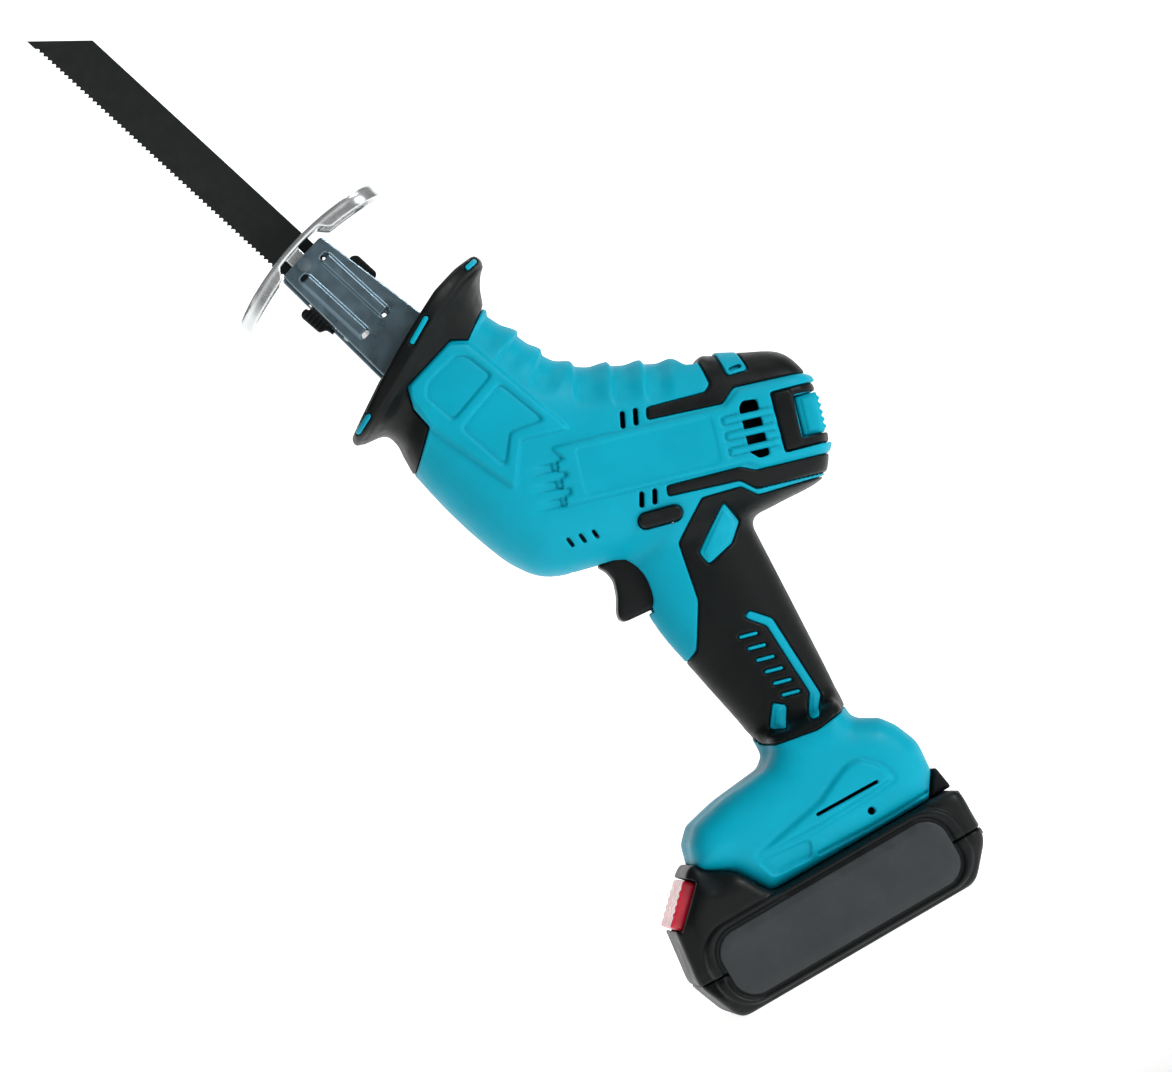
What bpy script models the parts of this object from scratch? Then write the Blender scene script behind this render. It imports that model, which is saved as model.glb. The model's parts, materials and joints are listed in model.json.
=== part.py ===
"""Cordless reciprocating saw standing on its battery pack.

The working unit inside this script is the millimetre, and place() scales every finished solid to
metres.  The origin is the middle of the pack's flat underside, +Z is up, the saw's nose points up
and forward along -X, and the left side of the saw faces -Y.
"""
import math

import bmesh
import bpy
from mathutils import Matrix, Vector

# ---------------------------------------------------------------- driving dimensions, millimetres
MM = 0.001
GAP = 0.3                      # clearance between pieces that touch
WALL = 3.0                     # housing wall
SKIN = 1.6                     # rubber overmould thickness
PART_PLANE = 0.15              # half of the gap between the two housing halves

CRANK = Vector((-15.5, 0.0, 212.0))     # crank axis, where the nose and motor axes meet
NOSE_TILT = math.radians(17.4)          # nose axis, leaning forward from vertical
MOTOR_TILT = math.radians(16.4)         # motor axis, sloping down to the rear

# Housing stations: upper point (x, z), lower point (x, z), half width
BODY_STATIONS = (
    ((-0.4, 279.8), (-54.6, 238.8), 29.0),
    ((7.2, 263.5), (-50.5, 221.0), 29.0),
    ((11.6, 253.6), (-45.0, 203.5), 29.0),
    ((19.0, 245.5), (-38.6, 189.3), 28.5),
    ((29.0, 240.2), (-29.0, 179.6), 28.0),
    ((41.0, 234.2), (-8.5, 173.4), 27.5),
    ((52.0, 228.2), (20.0, 168.0), 27.0),
    ((64.5, 223.0), (46.0, 162.0), 27.0),
    ((76.0, 217.2), (62.0, 160.6), 26.5),
    ((88.0, 210.4), (79.0, 160.6), 25.5),
    ((94.0, 199.6), (86.6, 167.5), 22.5),
)
# Handle and foot stations: height, front x, rear x, half width
HANDLE_STATIONS = (
    (184.0, -2.0, 48.0, 16.5),
    (146.0, -4.2, 46.3, 16.5),
    (118.0, 0.8, 45.0, 16.0),
    (90.0, 6.3, 43.4, 16.5),
    (68.0, 7.5, 40.5, 18.0),
)
FOOT_STATIONS = (
    (81.0, 8.6, 39.8, 17.4),
    (76.5, 3.5, 41.2, 20.0),
    (74.4, -18.0, 45.5, 27.0),
    (71.5, -31.0, 50.5, 31.5),
    (66.0, -36.3, 54.5, 34.0),
    (58.0, -38.5, 57.8, 35.3),
    (55.0, -37.4, 58.2, 35.5),
    (49.0, -27.2, 58.0, 35.6),
    (45.0, -24.7, 57.4, 35.6),
    (35.2, -18.6, 50.8, 35.6),
)
BODY_SQUARE = 2.7
HANDLE_SQUARE = 2.4
FOOT_SQUARE = 4.0
RING_POINTS = 20

# Drive train
MOTOR_RADIUS = 18.5
MOTOR_START, MOTOR_END = 32.0, 88.0
SHAFT_RADIUS = 1.6
PINION_START, PINION_END = 19.5, 25.0
PINION_RADIUS = 4.6
PINION_TEETH = 8
GEAR_RADIUS = 25.0
GEAR_TEETH = 24
GEAR_BACK, GEAR_FRONT, GEAR_TOOTH_TOP = -12.5, -7.5, -4.9
CRANK_THROW = 8.0
PIN_RADIUS = 2.5
YOKE_HALF_LENGTH, YOKE_HALF_WIDTH = 12.5, 5.0
YOKE_BACK, YOKE_FRONT = -4.5, 2.6
ROD_RADIUS = 4.5
STROKE_HALF = 8.0
BUSH_RADIUS = 9.0

# Blade, clamp, bracket and shoe, along the nose axis (s) and across it (t)
BLADE_START, BLADE_SHOULDER, BLADE_TIP, BLADE_BACK_END = 98.0, 119.0, 257.0, 239.0
BLADE_TOOTH_EDGE, BLADE_BACK = -8.0, 9.2
BLADE_THICK = 1.25
TOOTH_PITCH, TOOTH_DEPTH = 2.1, 0.9
TANG_HALF = 5.0
CLAMP_RADIUS = 7.2
COLLAR_START, COLLAR_END = 99.0, 109.0
BRACKET_IN, BRACKET_OUT = 12.0, 13.8
SHOE_PIVOT = 122.0
SHOE_FRONT, SHOE_CURVE, SHOE_CENTRE = 130.6, 116.0, 3.6
SHOE_LOW, SHOE_HIGH = -33.0, 40.0
SHOE_THICK, SHOE_HALF_WIDTH, SHOE_FLANGE = 2.2, 17.0, 4.6
RIVET_RADIUS = 1.6

# Battery pack
PACK_TOP = 34.8
PACK_HALF_WIDTH = 37.5
PACK_SPLIT = 17.5
CELL_RADIUS, CELL_HALF_LENGTH, CELL_PITCH, CELL_COUNT = 9.1, 32.5, 18.6, 5
RAIL_NECK, RAIL_HEAD = 18.5, 22.5
RAIL_STEP, RAIL_TOP = 38.4, 42.0
RAIL_FRONT, RAIL_REAR = -15.0, 44.5
PACK_WALL_X, PACK_WALL_Y, PACK_FLOOR, PACK_CEILING = 50.0, 33.6, 3.0, 31.0
BUTTON_MIDDLE = Vector((-51.2, 0.0, 49.0))
BUTTON_INWARD = Vector((0.70, 0.0, -0.714)).normalized()
BUTTON_PROUD, BUTTON_DEPTH, BUTTON_HALF_WIDTH, BUTTON_HALF_LENGTH = 1.0, 4.6, 26.0, 9.4
STEP_DEPTH, POCKET_DEPTH = 4.2, 7.0

# Controls
TRIGGER_HALF_WIDTH = 7.0
LOCK_CENTRE = Vector((16.4, 0.0, 178.8))
LOCK_LENGTH, LOCK_HEIGHT = 13.6, 5.0

# Screws: position in the side view
SCREW_SPOTS = ((-3.5, 264.0), (-44.4, 219.6), (32.0, 229.6), (79.0, 201.5),
               (-2.0, 181.5), (36.8, 149.0), (47.5, 57.0), (-23.0, 62.0))
BOSS_RADIUS, SCREW_RADIUS, HEAD_RADIUS = 3.6, 1.5, 3.0
SCREW_END, HEAD_FROM, HEAD_TO = -10.0, 10.0, 12.4

# ---------------------------------------------------------------- frames
NOSE_AXIS = Vector((-math.sin(NOSE_TILT), 0.0, math.cos(NOSE_TILT)))
NOSE_UP = Vector((math.cos(NOSE_TILT), 0.0, math.sin(NOSE_TILT)))
MOTOR_AXIS = Vector((math.cos(MOTOR_TILT), 0.0, -math.sin(MOTOR_TILT)))
MOTOR_UP = Vector((math.sin(MOTOR_TILT), 0.0, math.cos(MOTOR_TILT)))
SIDE = Vector((0.0, 1.0, 0.0))


def nose(s, t, y=0.0):
    """Point at s along the nose axis and t across it, towards the saw's back."""
    return CRANK + NOSE_AXIS * s + NOSE_UP * t + SIDE * y


def motor(s, n, y=0.0):
    """Point at s along the motor axis, towards the rear, and n above it."""
    return CRANK + MOTOR_AXIS * s + MOTOR_UP * n + SIDE * y


def flat(point):
    """Side-view coordinates (x, z) of a point."""
    return (point.x, point.z)


# Bodies that move, each with a point on its joint's axis
PIVOTS = {
    "tool": Vector((0.0, 0.0, 0.0)),
    "rotor": motor(60.0, 0.0),
    "crank": CRANK.copy(),
    "plunger": nose(60.0, 0.0),
    "clamp": nose(104.0, 0.0),
    "shoe": nose(SHOE_PIVOT, 0.0),
    "trigger": Vector((0.0, 0.0, 160.0)),
    "lock": LOCK_CENTRE.copy(),
    "battery": Vector((0.0, 0.0, PACK_TOP)),
    "release": Vector((-50.0, 0.0, 47.0)),
}

# ---------------------------------------------------------------- scene and materials
FINISHES = {
    "cyan_plastic": ((0.0, 0.45, 0.57, 1.0), 0.42, 0.0),
    "black_rubber": ((0.012, 0.014, 0.015, 1.0), 0.7, 0.0),
    "black_plastic": ((0.016, 0.018, 0.018, 1.0), 0.5, 0.0),
    "grey_plastic": ((0.042, 0.043, 0.045, 1.0), 0.55, 0.0),
    "red_plastic": ((0.7, 0.03, 0.06, 1.0), 0.4, 0.0),
    "dark_steel": ((0.02, 0.022, 0.02, 1.0), 0.4, 1.0),
    "bright_steel": ((0.6, 0.62, 0.63, 1.0), 0.22, 1.0),
    "grey_steel": ((0.2, 0.22, 0.24, 1.0), 0.35, 1.0),
    "copper": ((0.7, 0.35, 0.2, 1.0), 0.4, 1.0),
    "bronze": ((0.5, 0.35, 0.15, 1.0), 0.4, 1.0),
    "cell_wrap": ((0.05, 0.25, 0.1, 1.0), 0.4, 0.0),
}


def clear_scene():
    """Remove whatever the scene holds."""
    for item in list(bpy.data.objects):
        bpy.data.objects.remove(item)


def make_materials():
    """One Principled material for each finish."""
    materials = {}
    for name, (colour, roughness, metallic) in FINISHES.items():
        finish = bpy.data.materials.new(name)
        finish.use_nodes = True
        shader = finish.node_tree.nodes["Principled BSDF"]
        shader.inputs["Base Color"].default_value = colour
        shader.inputs["Roughness"].default_value = roughness
        shader.inputs["Metallic"].default_value = metallic
        materials[name] = finish
    return materials


def make_pivots():
    """An empty on each joint's axis, for the pieces that move with it."""
    empties = {}
    for name, pivot in PIVOTS.items():
        empty = bpy.data.objects.new("pivot_" + name, None)
        empty.location = pivot * MM
        bpy.context.collection.objects.link(empty)
        empties[name] = empty
    return empties


clear_scene()
MATERIALS = make_materials()
EMPTIES = make_pivots()


# ---------------------------------------------------------------- solids, in millimetres
def solid(mesh_data):
    """Working object from a bmesh, in triangles, with its faces pointing out."""
    bmesh.ops.triangulate(mesh_data, faces=mesh_data.faces)
    bmesh.ops.recalc_face_normals(mesh_data, faces=mesh_data.faces)
    mesh = bpy.data.meshes.new("working")
    mesh_data.to_mesh(mesh)
    mesh_data.free()
    item = bpy.data.objects.new("working", mesh)
    bpy.context.collection.objects.link(item)
    return item


def loft(rings, closed=False):
    """Skin through rings of equal length, capped at both ends or closed into a loop."""
    data = bmesh.new()
    loops = [[data.verts.new(point) for point in ring] for ring in rings]
    count = len(loops[0])
    pairs = list(zip(loops, loops[1:]))
    if closed:
        pairs.append((loops[-1], loops[0]))
    for first, second in pairs:
        for i in range(count):
            j = (i + 1) % count
            data.faces.new((first[i], first[j], second[j], second[i]))
    if not closed:
        data.faces.new(loops[0])
        data.faces.new(loops[-1])
    return solid(data)


def prism(outline, y_from, y_to):
    """Side-view outline of (x, z) points, extruded across the saw."""
    return loft([[Vector((x, y, z)) for x, z in outline] for y in (y_from, y_to)])


def circle(centre, axis, radius, count):
    """Ring of points round an axis."""
    axis = axis.normalized()
    across = axis.cross(SIDE)
    if across.length < 0.1:
        across = Vector((1.0, 0.0, 0.0))
    across.normalize()
    other = axis.cross(across)
    ring = []
    for k in range(count):
        angle = 2.0 * math.pi * k / count
        ring.append(centre + (across * math.cos(angle) + other * math.sin(angle)) * radius)
    return ring


def turned(base, axis, profile, closed=False, count=20):
    """Solid of revolution from (distance along the axis, radius) pairs."""
    rings = [circle(base + axis * along, axis, radius, count) for along, radius in profile]
    return loft(rings, closed)


def tube(base, axis, start, end, inner, outer, count=20):
    """Plain ring or sleeve."""
    profile = ((start, outer), (end, outer), (end, inner), (start, inner))
    return turned(base, axis, profile, closed=True, count=count)


def rod(base, axis, start, end, radius, count=20):
    """Plain round bar."""
    return turned(base, axis, ((start, radius), (end, radius)), count=count)


def box(x_range, y_range, z_range):
    """Plain box."""
    outline = [(x_range[0], z_range[0]), (x_range[1], z_range[0]),
               (x_range[1], z_range[1]), (x_range[0], z_range[1])]
    return prism(outline, y_range[0], y_range[1])


def nose_bar(s_range, t_range, y_range):
    """Box lined up with the nose axis."""
    corners = [flat(nose(s, t)) for s, t in ((s_range[0], t_range[0]), (s_range[1], t_range[0]),
                                             (s_range[1], t_range[1]), (s_range[0], t_range[1]))]
    return prism(corners, y_range[0], y_range[1])


def motor_bar(s_range, n_range, y_range):
    """Box lined up with the motor axis."""
    corners = [flat(motor(s, n)) for s, n in ((s_range[0], n_range[0]), (s_range[1], n_range[0]),
                                              (s_range[1], n_range[1]), (s_range[0], n_range[1]))]
    return prism(corners, y_range[0], y_range[1])


def rounded(corners, steps=3):
    """Outline whose (x, z, radius) corners are rounded by arcs."""
    outline = []
    count = len(corners)
    for i, (x, z, radius) in enumerate(corners):
        corner = Vector((x, z))
        if radius == 0:
            outline.append((x, z))
            continue
        before = (Vector(corners[i - 1][:2]) - corner).normalized()
        after = (Vector(corners[(i + 1) % count][:2]) - corner).normalized()
        half = before.angle(after) / 2.0
        reach = radius / math.tan(half)
        centre = corner + (before + after).normalized() * (radius / math.sin(half))
        first = corner + before * reach - centre
        last = corner + after * reach - centre
        start = math.atan2(first.y, first.x)
        sweep = math.atan2(last.y, last.x) - start
        sweep = (sweep + math.pi) % (2.0 * math.pi) - math.pi
        for k in range(steps + 1):
            angle = start + sweep * k / steps
            outline.append((centre.x + radius * math.cos(angle), centre.y + radius * math.sin(angle)))
    return outline


def slot_outline(first, last, half_width, steps=5):
    """Outline of a slot with round ends, between two (x, z) points."""
    start, end = Vector(first), Vector(last)
    heading = math.atan2((end - start).y, (end - start).x)
    outline = []
    for centre, turn in ((end, -0.5 * math.pi), (start, 0.5 * math.pi)):
        for k in range(steps + 1):
            angle = heading + turn + math.pi * k / steps
            outline.append((centre.x + half_width * math.cos(angle),
                            centre.y + half_width * math.sin(angle)))
    return outline


def squircle(first, last, half_width, square):
    """Closed section between two side-view points, swelling sideways to half_width."""
    upper = Vector((first[0], 0.0, first[1]))
    lower = Vector((last[0], 0.0, last[1]))
    centre = (upper + lower) / 2.0
    reach = (upper - lower) / 2.0
    ring = []
    for k in range(RING_POINTS):
        angle = 2.0 * math.pi * (k + 0.5) / RING_POINTS
        c, s = math.cos(angle), math.sin(angle)
        along = math.copysign(abs(c) ** (2.0 / square), c)
        across = math.copysign(abs(s) ** (2.0 / square), s)
        ring.append(centre + reach * along + SIDE * (half_width * across))
    return ring


# Tried in turn until the result is sound: solver, and a nudge in mm for faces that coincide
ATTEMPTS = (("EXACT", 0.0), ("MANIFOLD", 0.0), ("EXACT", 0.0013), ("MANIFOLD", -0.0017))


def is_sound(mesh):
    """Whether a mesh is closed, every edge having exactly two faces, and holds some volume."""
    data = bmesh.new()
    data.from_mesh(mesh)
    sound = all(edge.is_manifold for edge in data.edges) and data.calc_volume() > 1.0
    data.free()
    return sound


def combine(target, tool, operation):
    """Boolean of two working solids; the tool is used up."""
    modifier = target.modifiers.new("combine", "BOOLEAN")
    modifier.operation = operation
    modifier.object = tool
    for solver, nudge in ATTEMPTS:
        modifier.solver = solver
        tool.location = Vector((1.0, 0.6, -0.8)) * nudge
        graph = bpy.context.evaluated_depsgraph_get()
        result = bpy.data.meshes.new_from_object(target.evaluated_get(graph))
        if is_sound(result):
            break
    target.modifiers.clear()
    target.data = result
    bpy.data.objects.remove(tool)
    return target


def join(target, *tools):
    """Union of working solids."""
    for tool in tools:
        target = combine(target, tool, "UNION")
    return target


def cut(target, *tools):
    """Working solid less each tool."""
    for tool in tools:
        target = combine(target, tool, "DIFFERENCE")
    return target


def common(target, tool):
    """What two working solids share."""
    return combine(target, tool, "INTERSECT")


def copy(item):
    """Second working solid of the same shape."""
    twin = bpy.data.objects.new("working", item.data.copy())
    bpy.context.collection.objects.link(twin)
    return twin


MERGES = (0.02, 0.005, 0.001, 0.0)     # mm, widest first: joins the doubled points a Boolean leaves
FLAT = math.radians(0.05)
SHARP = math.radians(35.0)


def cleaned(mesh):
    """Triangles of a mesh without doubled points, merged as widely as keeps the surface closed."""
    for distance in MERGES:
        data = bmesh.new()
        data.from_mesh(mesh)
        if distance > 0.0:
            bmesh.ops.remove_doubles(data, verts=data.verts, dist=distance)
            bmesh.ops.dissolve_degenerate(data, edges=data.edges, dist=distance)
        bmesh.ops.dissolve_limit(data, angle_limit=FLAT, verts=data.verts, edges=data.edges)
        bmesh.ops.triangulate(data, faces=data.faces)
        if all(edge.is_manifold for edge in data.edges) or distance == 0.0:
            return data
        data.free()


def place(name, item, finish, body="tool"):
    """Finished piece: named, in metres, on its pivot, smooth where it is round."""
    pivot = PIVOTS[body]
    data = cleaned(item.data)
    bpy.data.objects.remove(item)
    bmesh.ops.translate(data, verts=data.verts, vec=-pivot)
    bmesh.ops.scale(data, verts=data.verts, vec=(MM, MM, MM))
    mesh = bpy.data.meshes.new(name)
    data.to_mesh(mesh)
    data.free()
    mesh.materials.append(MATERIALS[finish])
    mesh.shade_smooth()
    mesh.set_sharp_from_angle(angle=SHARP)
    piece = bpy.data.objects.new(name, mesh)
    piece.parent = EMPTIES[body]
    bpy.context.collection.objects.link(piece)
    return piece


# ---------------------------------------------------------------- housing
def body_loft(inset, open_front=0.0, close_rear=0.0):
    """Nose and motor part of the housing, drawn in by inset on every side."""
    stations = []
    for upper, lower, width in BODY_STATIONS:
        top, bottom = Vector(upper), Vector(lower)
        inward = (bottom - top).normalized() * inset
        stations.append([top + inward, bottom - inward, width - inset])
    forward = Vector(flat(NOSE_AXIS)) * open_front
    stations[0][0] += forward
    stations[0][1] += forward
    ahead = -Vector(flat(MOTOR_AXIS)) * close_rear
    stations[-1][0] += ahead
    stations[-1][1] += ahead
    return loft([squircle(top, bottom, width, BODY_SQUARE) for top, bottom, width in stations])


def upright_loft(stations, inset, square, top_cut=0.0, bottom_cut=0.0):
    """Handle or foot, from level sections."""
    rings = []
    for index, (height, front, rear, width) in enumerate(stations):
        level = height
        if index == 0:
            level -= top_cut
        if index == len(stations) - 1:
            level += bottom_cut
        rings.append(squircle((front + inset, level), (rear - inset, level), width - inset, square))
    return loft(rings)


def envelope(inset, open_front=0.0, close_rear=0.0, top_cut=0.0, bottom_cut=0.0):
    """Whole housing shape, drawn in by inset."""
    whole = body_loft(inset, open_front, close_rear)
    handle = upright_loft(HANDLE_STATIONS, inset, HANDLE_SQUARE)
    foot = upright_loft(FOOT_STATIONS, inset, FOOT_SQUARE, top_cut, bottom_cut)
    return join(whole, handle, foot)


RIB_SPANS = ((motor_bar, 36.0, 38.5), (motor_bar, 78.0, 80.5),
             (nose_bar, 27.0, 31.5), (nose_bar, 40.0, 42.5), (nose_bar, 53.0, 55.5))


def cavity():
    """Hollow of the housing, with the ribs and screw bosses left out of it."""
    hollow = envelope(WALL, open_front=12.0, close_rear=WALL, bottom_cut=11.5)
    for bar, start, end in RIB_SPANS:
        hollow = cut(hollow, bar((start, end), (-60.0, 60.0), (-60.0, 60.0)))
    for x, z in SCREW_SPOTS:
        hollow = cut(hollow, rod(Vector((x, 0.0, z)), SIDE, -60.0, 60.0, BOSS_RADIUS, 12))
    return hollow


def room_for_parts():
    """Everything cut out of the ribs and walls so that the inner parts fit and move."""
    tools = [
        rod(CRANK, MOTOR_AXIS, 17.0, MOTOR_END + 9.0, MOTOR_RADIUS + GAP),
        rod(CRANK, SIDE, GEAR_BACK - 1.0, GEAR_TOOTH_TOP + 1.0, GEAR_RADIUS + 1.0),
        rod(CRANK, SIDE, -19.6, -12.0, BUSH_RADIUS + GAP),
        nose_bar((-STROKE_HALF - 8.0, STROKE_HALF + 12.0), (-14.5, 14.5),
                 (YOKE_BACK - 0.5, ROD_RADIUS)),
        rod(CRANK, NOSE_AXIS, 10.0, 36.0, BUSH_RADIUS + GAP),
        nose_bar((33.7, 90.0), (-10.8, 18.3), (-BRACKET_OUT - GAP, BRACKET_OUT + GAP)),
        prism(rounded(((-30.0, 148.5, 0), (8.0, 148.5, 0), (13.0, 148.5, 0), (13.0, 171.0, 0),
                       (4.0, 177.0, 0), (-30.0, 177.0, 0))), -7.4, 7.4),
        box((12.0, 32.2), (-9.3, 9.3), (141.0, 171.5)),
        prism(slot_outline(*lock_ends(), LOCK_HEIGHT / 2.0 + GAP), -60.0, 60.0),
        box((-45.0, 46.5), (-RAIL_NECK - 0.6, RAIL_NECK + 0.6), (30.0, RAIL_STEP + 0.3)),
        box((-45.0, 46.5), (-RAIL_HEAD - 0.5, RAIL_HEAD + 0.5), (RAIL_STEP - 0.4, RAIL_TOP + 0.6)),
        box((45.0, 52.4), (-14.3, 14.3), (37.0, 50.0)),
        motor_bar((98.7, 140.0), (-7.8, 9.3), (-60.0, 60.0)),
    ]
    for low in (-9.0, -2.3, 4.4):
        tools.append(motor_bar((81.5, 86.0), (low, low + 4.6), (-60.0, 60.0)))
    return tools


def lock_ends():
    """Centres of the lock button's two round ends, in the side view."""
    half = (LOCK_LENGTH - LOCK_HEIGHT) / 2.0
    lean = Vector((math.cos(MOTOR_TILT), -math.sin(MOTOR_TILT)))
    centre = Vector(flat(LOCK_CENTRE))
    return centre - lean * half, centre + lean * half


def grip_outline(grow=0.0):
    """Rubber grip region on the handle, larger all round by grow."""
    return [(18.6 - grow, 168.5 + grow), (33.5, 177.5 + grow), (48.2, 175.4 + grow),
            (52.4, 168.0 + grow), (57.0 + grow, 159.0 + grow), (60.0, 150.0), (60.0, 82.0 - grow),
            (25.0, 79.8 - grow), (-3.0, 83.6 - grow), (-6.0, 124.0 + grow), (2.0, 128.0 + grow),
            (15.2 - grow, 148.0 + grow)]


def rear_outline(grow=0.0):
    """Rubber hump, rear bar and tail region, larger all round by grow."""
    corners = ((56.6, 50.0), (56.6, 24.0), (42.5, 18.0), (42.5, 13.0), (72.2, 13.0), (77.5, 17.3),
               (90.4, 12.1), (90.4, -11.0), (77.0, -12.5), (73.0, -12.3), (43.8, -12.3),
               (43.8, -17.0), (71.5, -17.3), (77.4, -21.6), (86.0, -21.8), (140.0, -21.5),
               (140.0, -11.0), (98.6, -11.0), (98.6, 12.0), (140.0, 12.0), (140.0, 50.0))
    outline = [Vector(flat(motor(s, n))) for s, n in corners]
    if grow == 0.0:
        return outline
    grown = []
    count = len(outline)
    for i, point in enumerate(outline):
        before = (point - outline[i - 1]).normalized()
        after = (outline[(i + 1) % count] - point).normalized()
        normal = (Vector((before.y, -before.x)) + Vector((after.y, -after.x)))
        normal /= max(0.5, 0.5 * normal.length_squared)
        grown.append(point + normal * grow)
    return grown


def build_housing():
    """Both halves of the housing and the rubber moulded over them."""
    whole = envelope(0.0)
    under_skin = envelope(SKIN, open_front=6.0, close_rear=-6.0)
    deep_skin = envelope(SKIN + GAP, open_front=6.0, close_rear=-6.0)
    grip_region = cut(prism(grip_outline(), -60.0, 60.0), prism(rear_outline(2.0 * GAP), -61.0, 61.0))
    rubber = {"grip": cut(common(copy(whole), grip_region), copy(under_skin)),
              "rear": cut(common(copy(whole), prism(rear_outline(), -60.0, 60.0)), under_skin)}
    shell = cut(whole, cavity())
    for outline in (grip_outline(GAP), rear_outline(GAP)):
        shell = cut(shell, cut(prism(outline, -60.0, 60.0), copy(deep_skin)))
    bpy.data.objects.remove(deep_skin)
    shell = cut(shell, *room_for_parts())
    for x, z in SCREW_SPOTS:
        spot = Vector((x, 0.0, z))
        shell = cut(shell, rod(spot, SIDE, SCREW_END - 1.0, HEAD_FROM + 1.0, SCREW_RADIUS + GAP, 12))
        for part in (shell, rubber["grip"], rubber["rear"]):
            cut(part, rod(spot, SIDE, HEAD_FROM - GAP, 60.0, HEAD_RADIUS + GAP, 12))
    for side, reach in (("left", (-60.0, -PART_PLANE)), ("right", (PART_PLANE, 60.0))):
        place("housing_" + side, common(copy(shell), box((-200.0, 200.0), reach, (0.0, 400.0))),
              "cyan_plastic")
        for kind in ("grip", "rear"):
            half = common(copy(rubber[kind]), box((-200.0, 200.0), reach, (0.0, 400.0)))
            if kind == "rear":
                half = cut(half, motor_bar((98.7, 140.0), (-7.8, 9.3), (-60.0, 60.0)))
            place(kind + "_rubber_" + side, half, "black_rubber")
    for item in (shell, rubber["grip"], rubber["rear"]):
        bpy.data.objects.remove(item)


build_housing()


def build_rear_cap():
    """Ribbed cover between the two rear arms of the rubber."""
    cap = common(body_loft(0.0, close_rear=-1.0), motor_bar((99.0, 140.0), (-7.5, 9.0), (-22.0, 22.0)))
    for step in range(5):
        low = -6.0 + 3.0 * step
        cap = cut(cap, motor_bar((108.6, 140.0), (low, low + 1.2), (-60.0, 60.0)))
    place("rear_cap", cap, "cyan_plastic")


# ---------------------------------------------------------------- hand guard at the nose
def build_front_collar():
    """Flared rubber guard, a closed ring of sections from the housing out to the rim and back."""
    sections = (
        ((0.2, 281.0), (-55.3, 240.0), 29.0, 2.7),
        ((2.2, 288.3), (-54.6, 252.4), 30.0, 2.7),
        ((7.8, 295.0), (-67.8, 258.4), 35.0, 2.6),
        ((7.3, 299.7), (-69.3, 263.0), 35.0, 2.6),
        ((4.0, 299.0), (-66.0, 265.2), 32.0, 2.6),
        (flat(nose(68.5, 23.0)), flat(nose(68.5, -16.5)), 19.5, 3.5),
        (flat(nose(64.5, 23.0)), flat(nose(64.5, -16.5)), 19.5, 3.5),
        ((-3.6, 279.2), (-52.2, 242.8), 25.6, 2.7),
    )
    rings = [squircle(*section) for section in sections]
    place("front_collar", loft(rings, closed=True), "black_rubber")


# ---------------------------------------------------------------- motor and drive train
def build_motor():
    """Can with its end bell, and the armature, fan, bearing and pinion on the motor's shaft."""
    place("motor_can", turned(CRANK, MOTOR_AXIS, (
        (MOTOR_START, 7.3), (MOTOR_START, MOTOR_RADIUS), (MOTOR_END - 12.0, MOTOR_RADIUS),
        (MOTOR_END - 12.0, 16.6), (MOTOR_START + 1.6, 16.6), (MOTOR_START + 1.6, 7.3)),
        closed=True, count=32), "grey_steel")
    place("motor_end_bell", turned(CRANK, MOTOR_AXIS, (
        (MOTOR_END - 11.7, MOTOR_RADIUS), (MOTOR_END, MOTOR_RADIUS - 2.0), (MOTOR_END + 4.0, 5.0),
        (MOTOR_END + 4.0, 2.2), (MOTOR_END - 2.0, 2.2), (MOTOR_END - 2.0, 14.5),
        (MOTOR_END - 11.7, 14.5)), closed=True, count=32), "black_plastic")
    place("motor_bearing", tube(CRANK, MOTOR_AXIS, MOTOR_START - 1.4, MOTOR_START + 3.0,
                                SHAFT_RADIUS + 0.6, 7.0), "bright_steel")
    place("motor_armature", turned(CRANK, MOTOR_AXIS, (
        (PINION_START - 0.8, SHAFT_RADIUS), (MOTOR_START + 6.0, SHAFT_RADIUS),
        (MOTOR_START + 6.0, 15.8), (MOTOR_END - 16.0, 15.8), (MOTOR_END - 14.0, 6.0),
        (MOTOR_END - 5.0, 6.0), (MOTOR_END - 5.0, SHAFT_RADIUS), (MOTOR_END + 2.0, SHAFT_RADIUS))),
        "copper", "rotor")
    hub = tube(CRANK, MOTOR_AXIS, MOTOR_START - 5.4, MOTOR_START - 2.2, SHAFT_RADIUS + GAP, 5.5)
    for blade in range(9):
        angle = 2.0 * math.pi * blade / 9.0
        fin = motor_bar((MOTOR_START - 5.4, MOTOR_START - 2.2), (4.8, 16.4), (-0.8, 0.8))
        fin.data.transform(Matrix.Translation(CRANK) @ Matrix.Rotation(angle, 4, MOTOR_AXIS)
                           @ Matrix.Translation(-CRANK))
        hub = join(hub, fin)
    place("motor_fan", hub, "black_plastic", "rotor")
    place("drive_pinion", gear_ring(CRANK, MOTOR_AXIS, PINION_START, PINION_END, SHAFT_RADIUS + GAP,
                                    PINION_RADIUS - 1.2, PINION_RADIUS, PINION_TEETH),
          "grey_steel", "rotor")


def gear_ring(base, axis, start, end, bore, root, tip, teeth):
    """Toothed ring round an axis."""
    rings = []
    outer_points = 4 * teeth
    for along, inside in ((start, False), (end, False), (end, True), (start, True)):
        ring = circle(base + axis * along, axis, 1.0, outer_points)
        centre = base + axis * along
        for k, point in enumerate(ring):
            radius = tip if k % 4 in (1, 2) else root
            if inside:
                radius = bore
            ring[k] = centre + (point - centre) * radius
        rings.append(ring)
    return loft(rings, closed=True)


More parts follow.
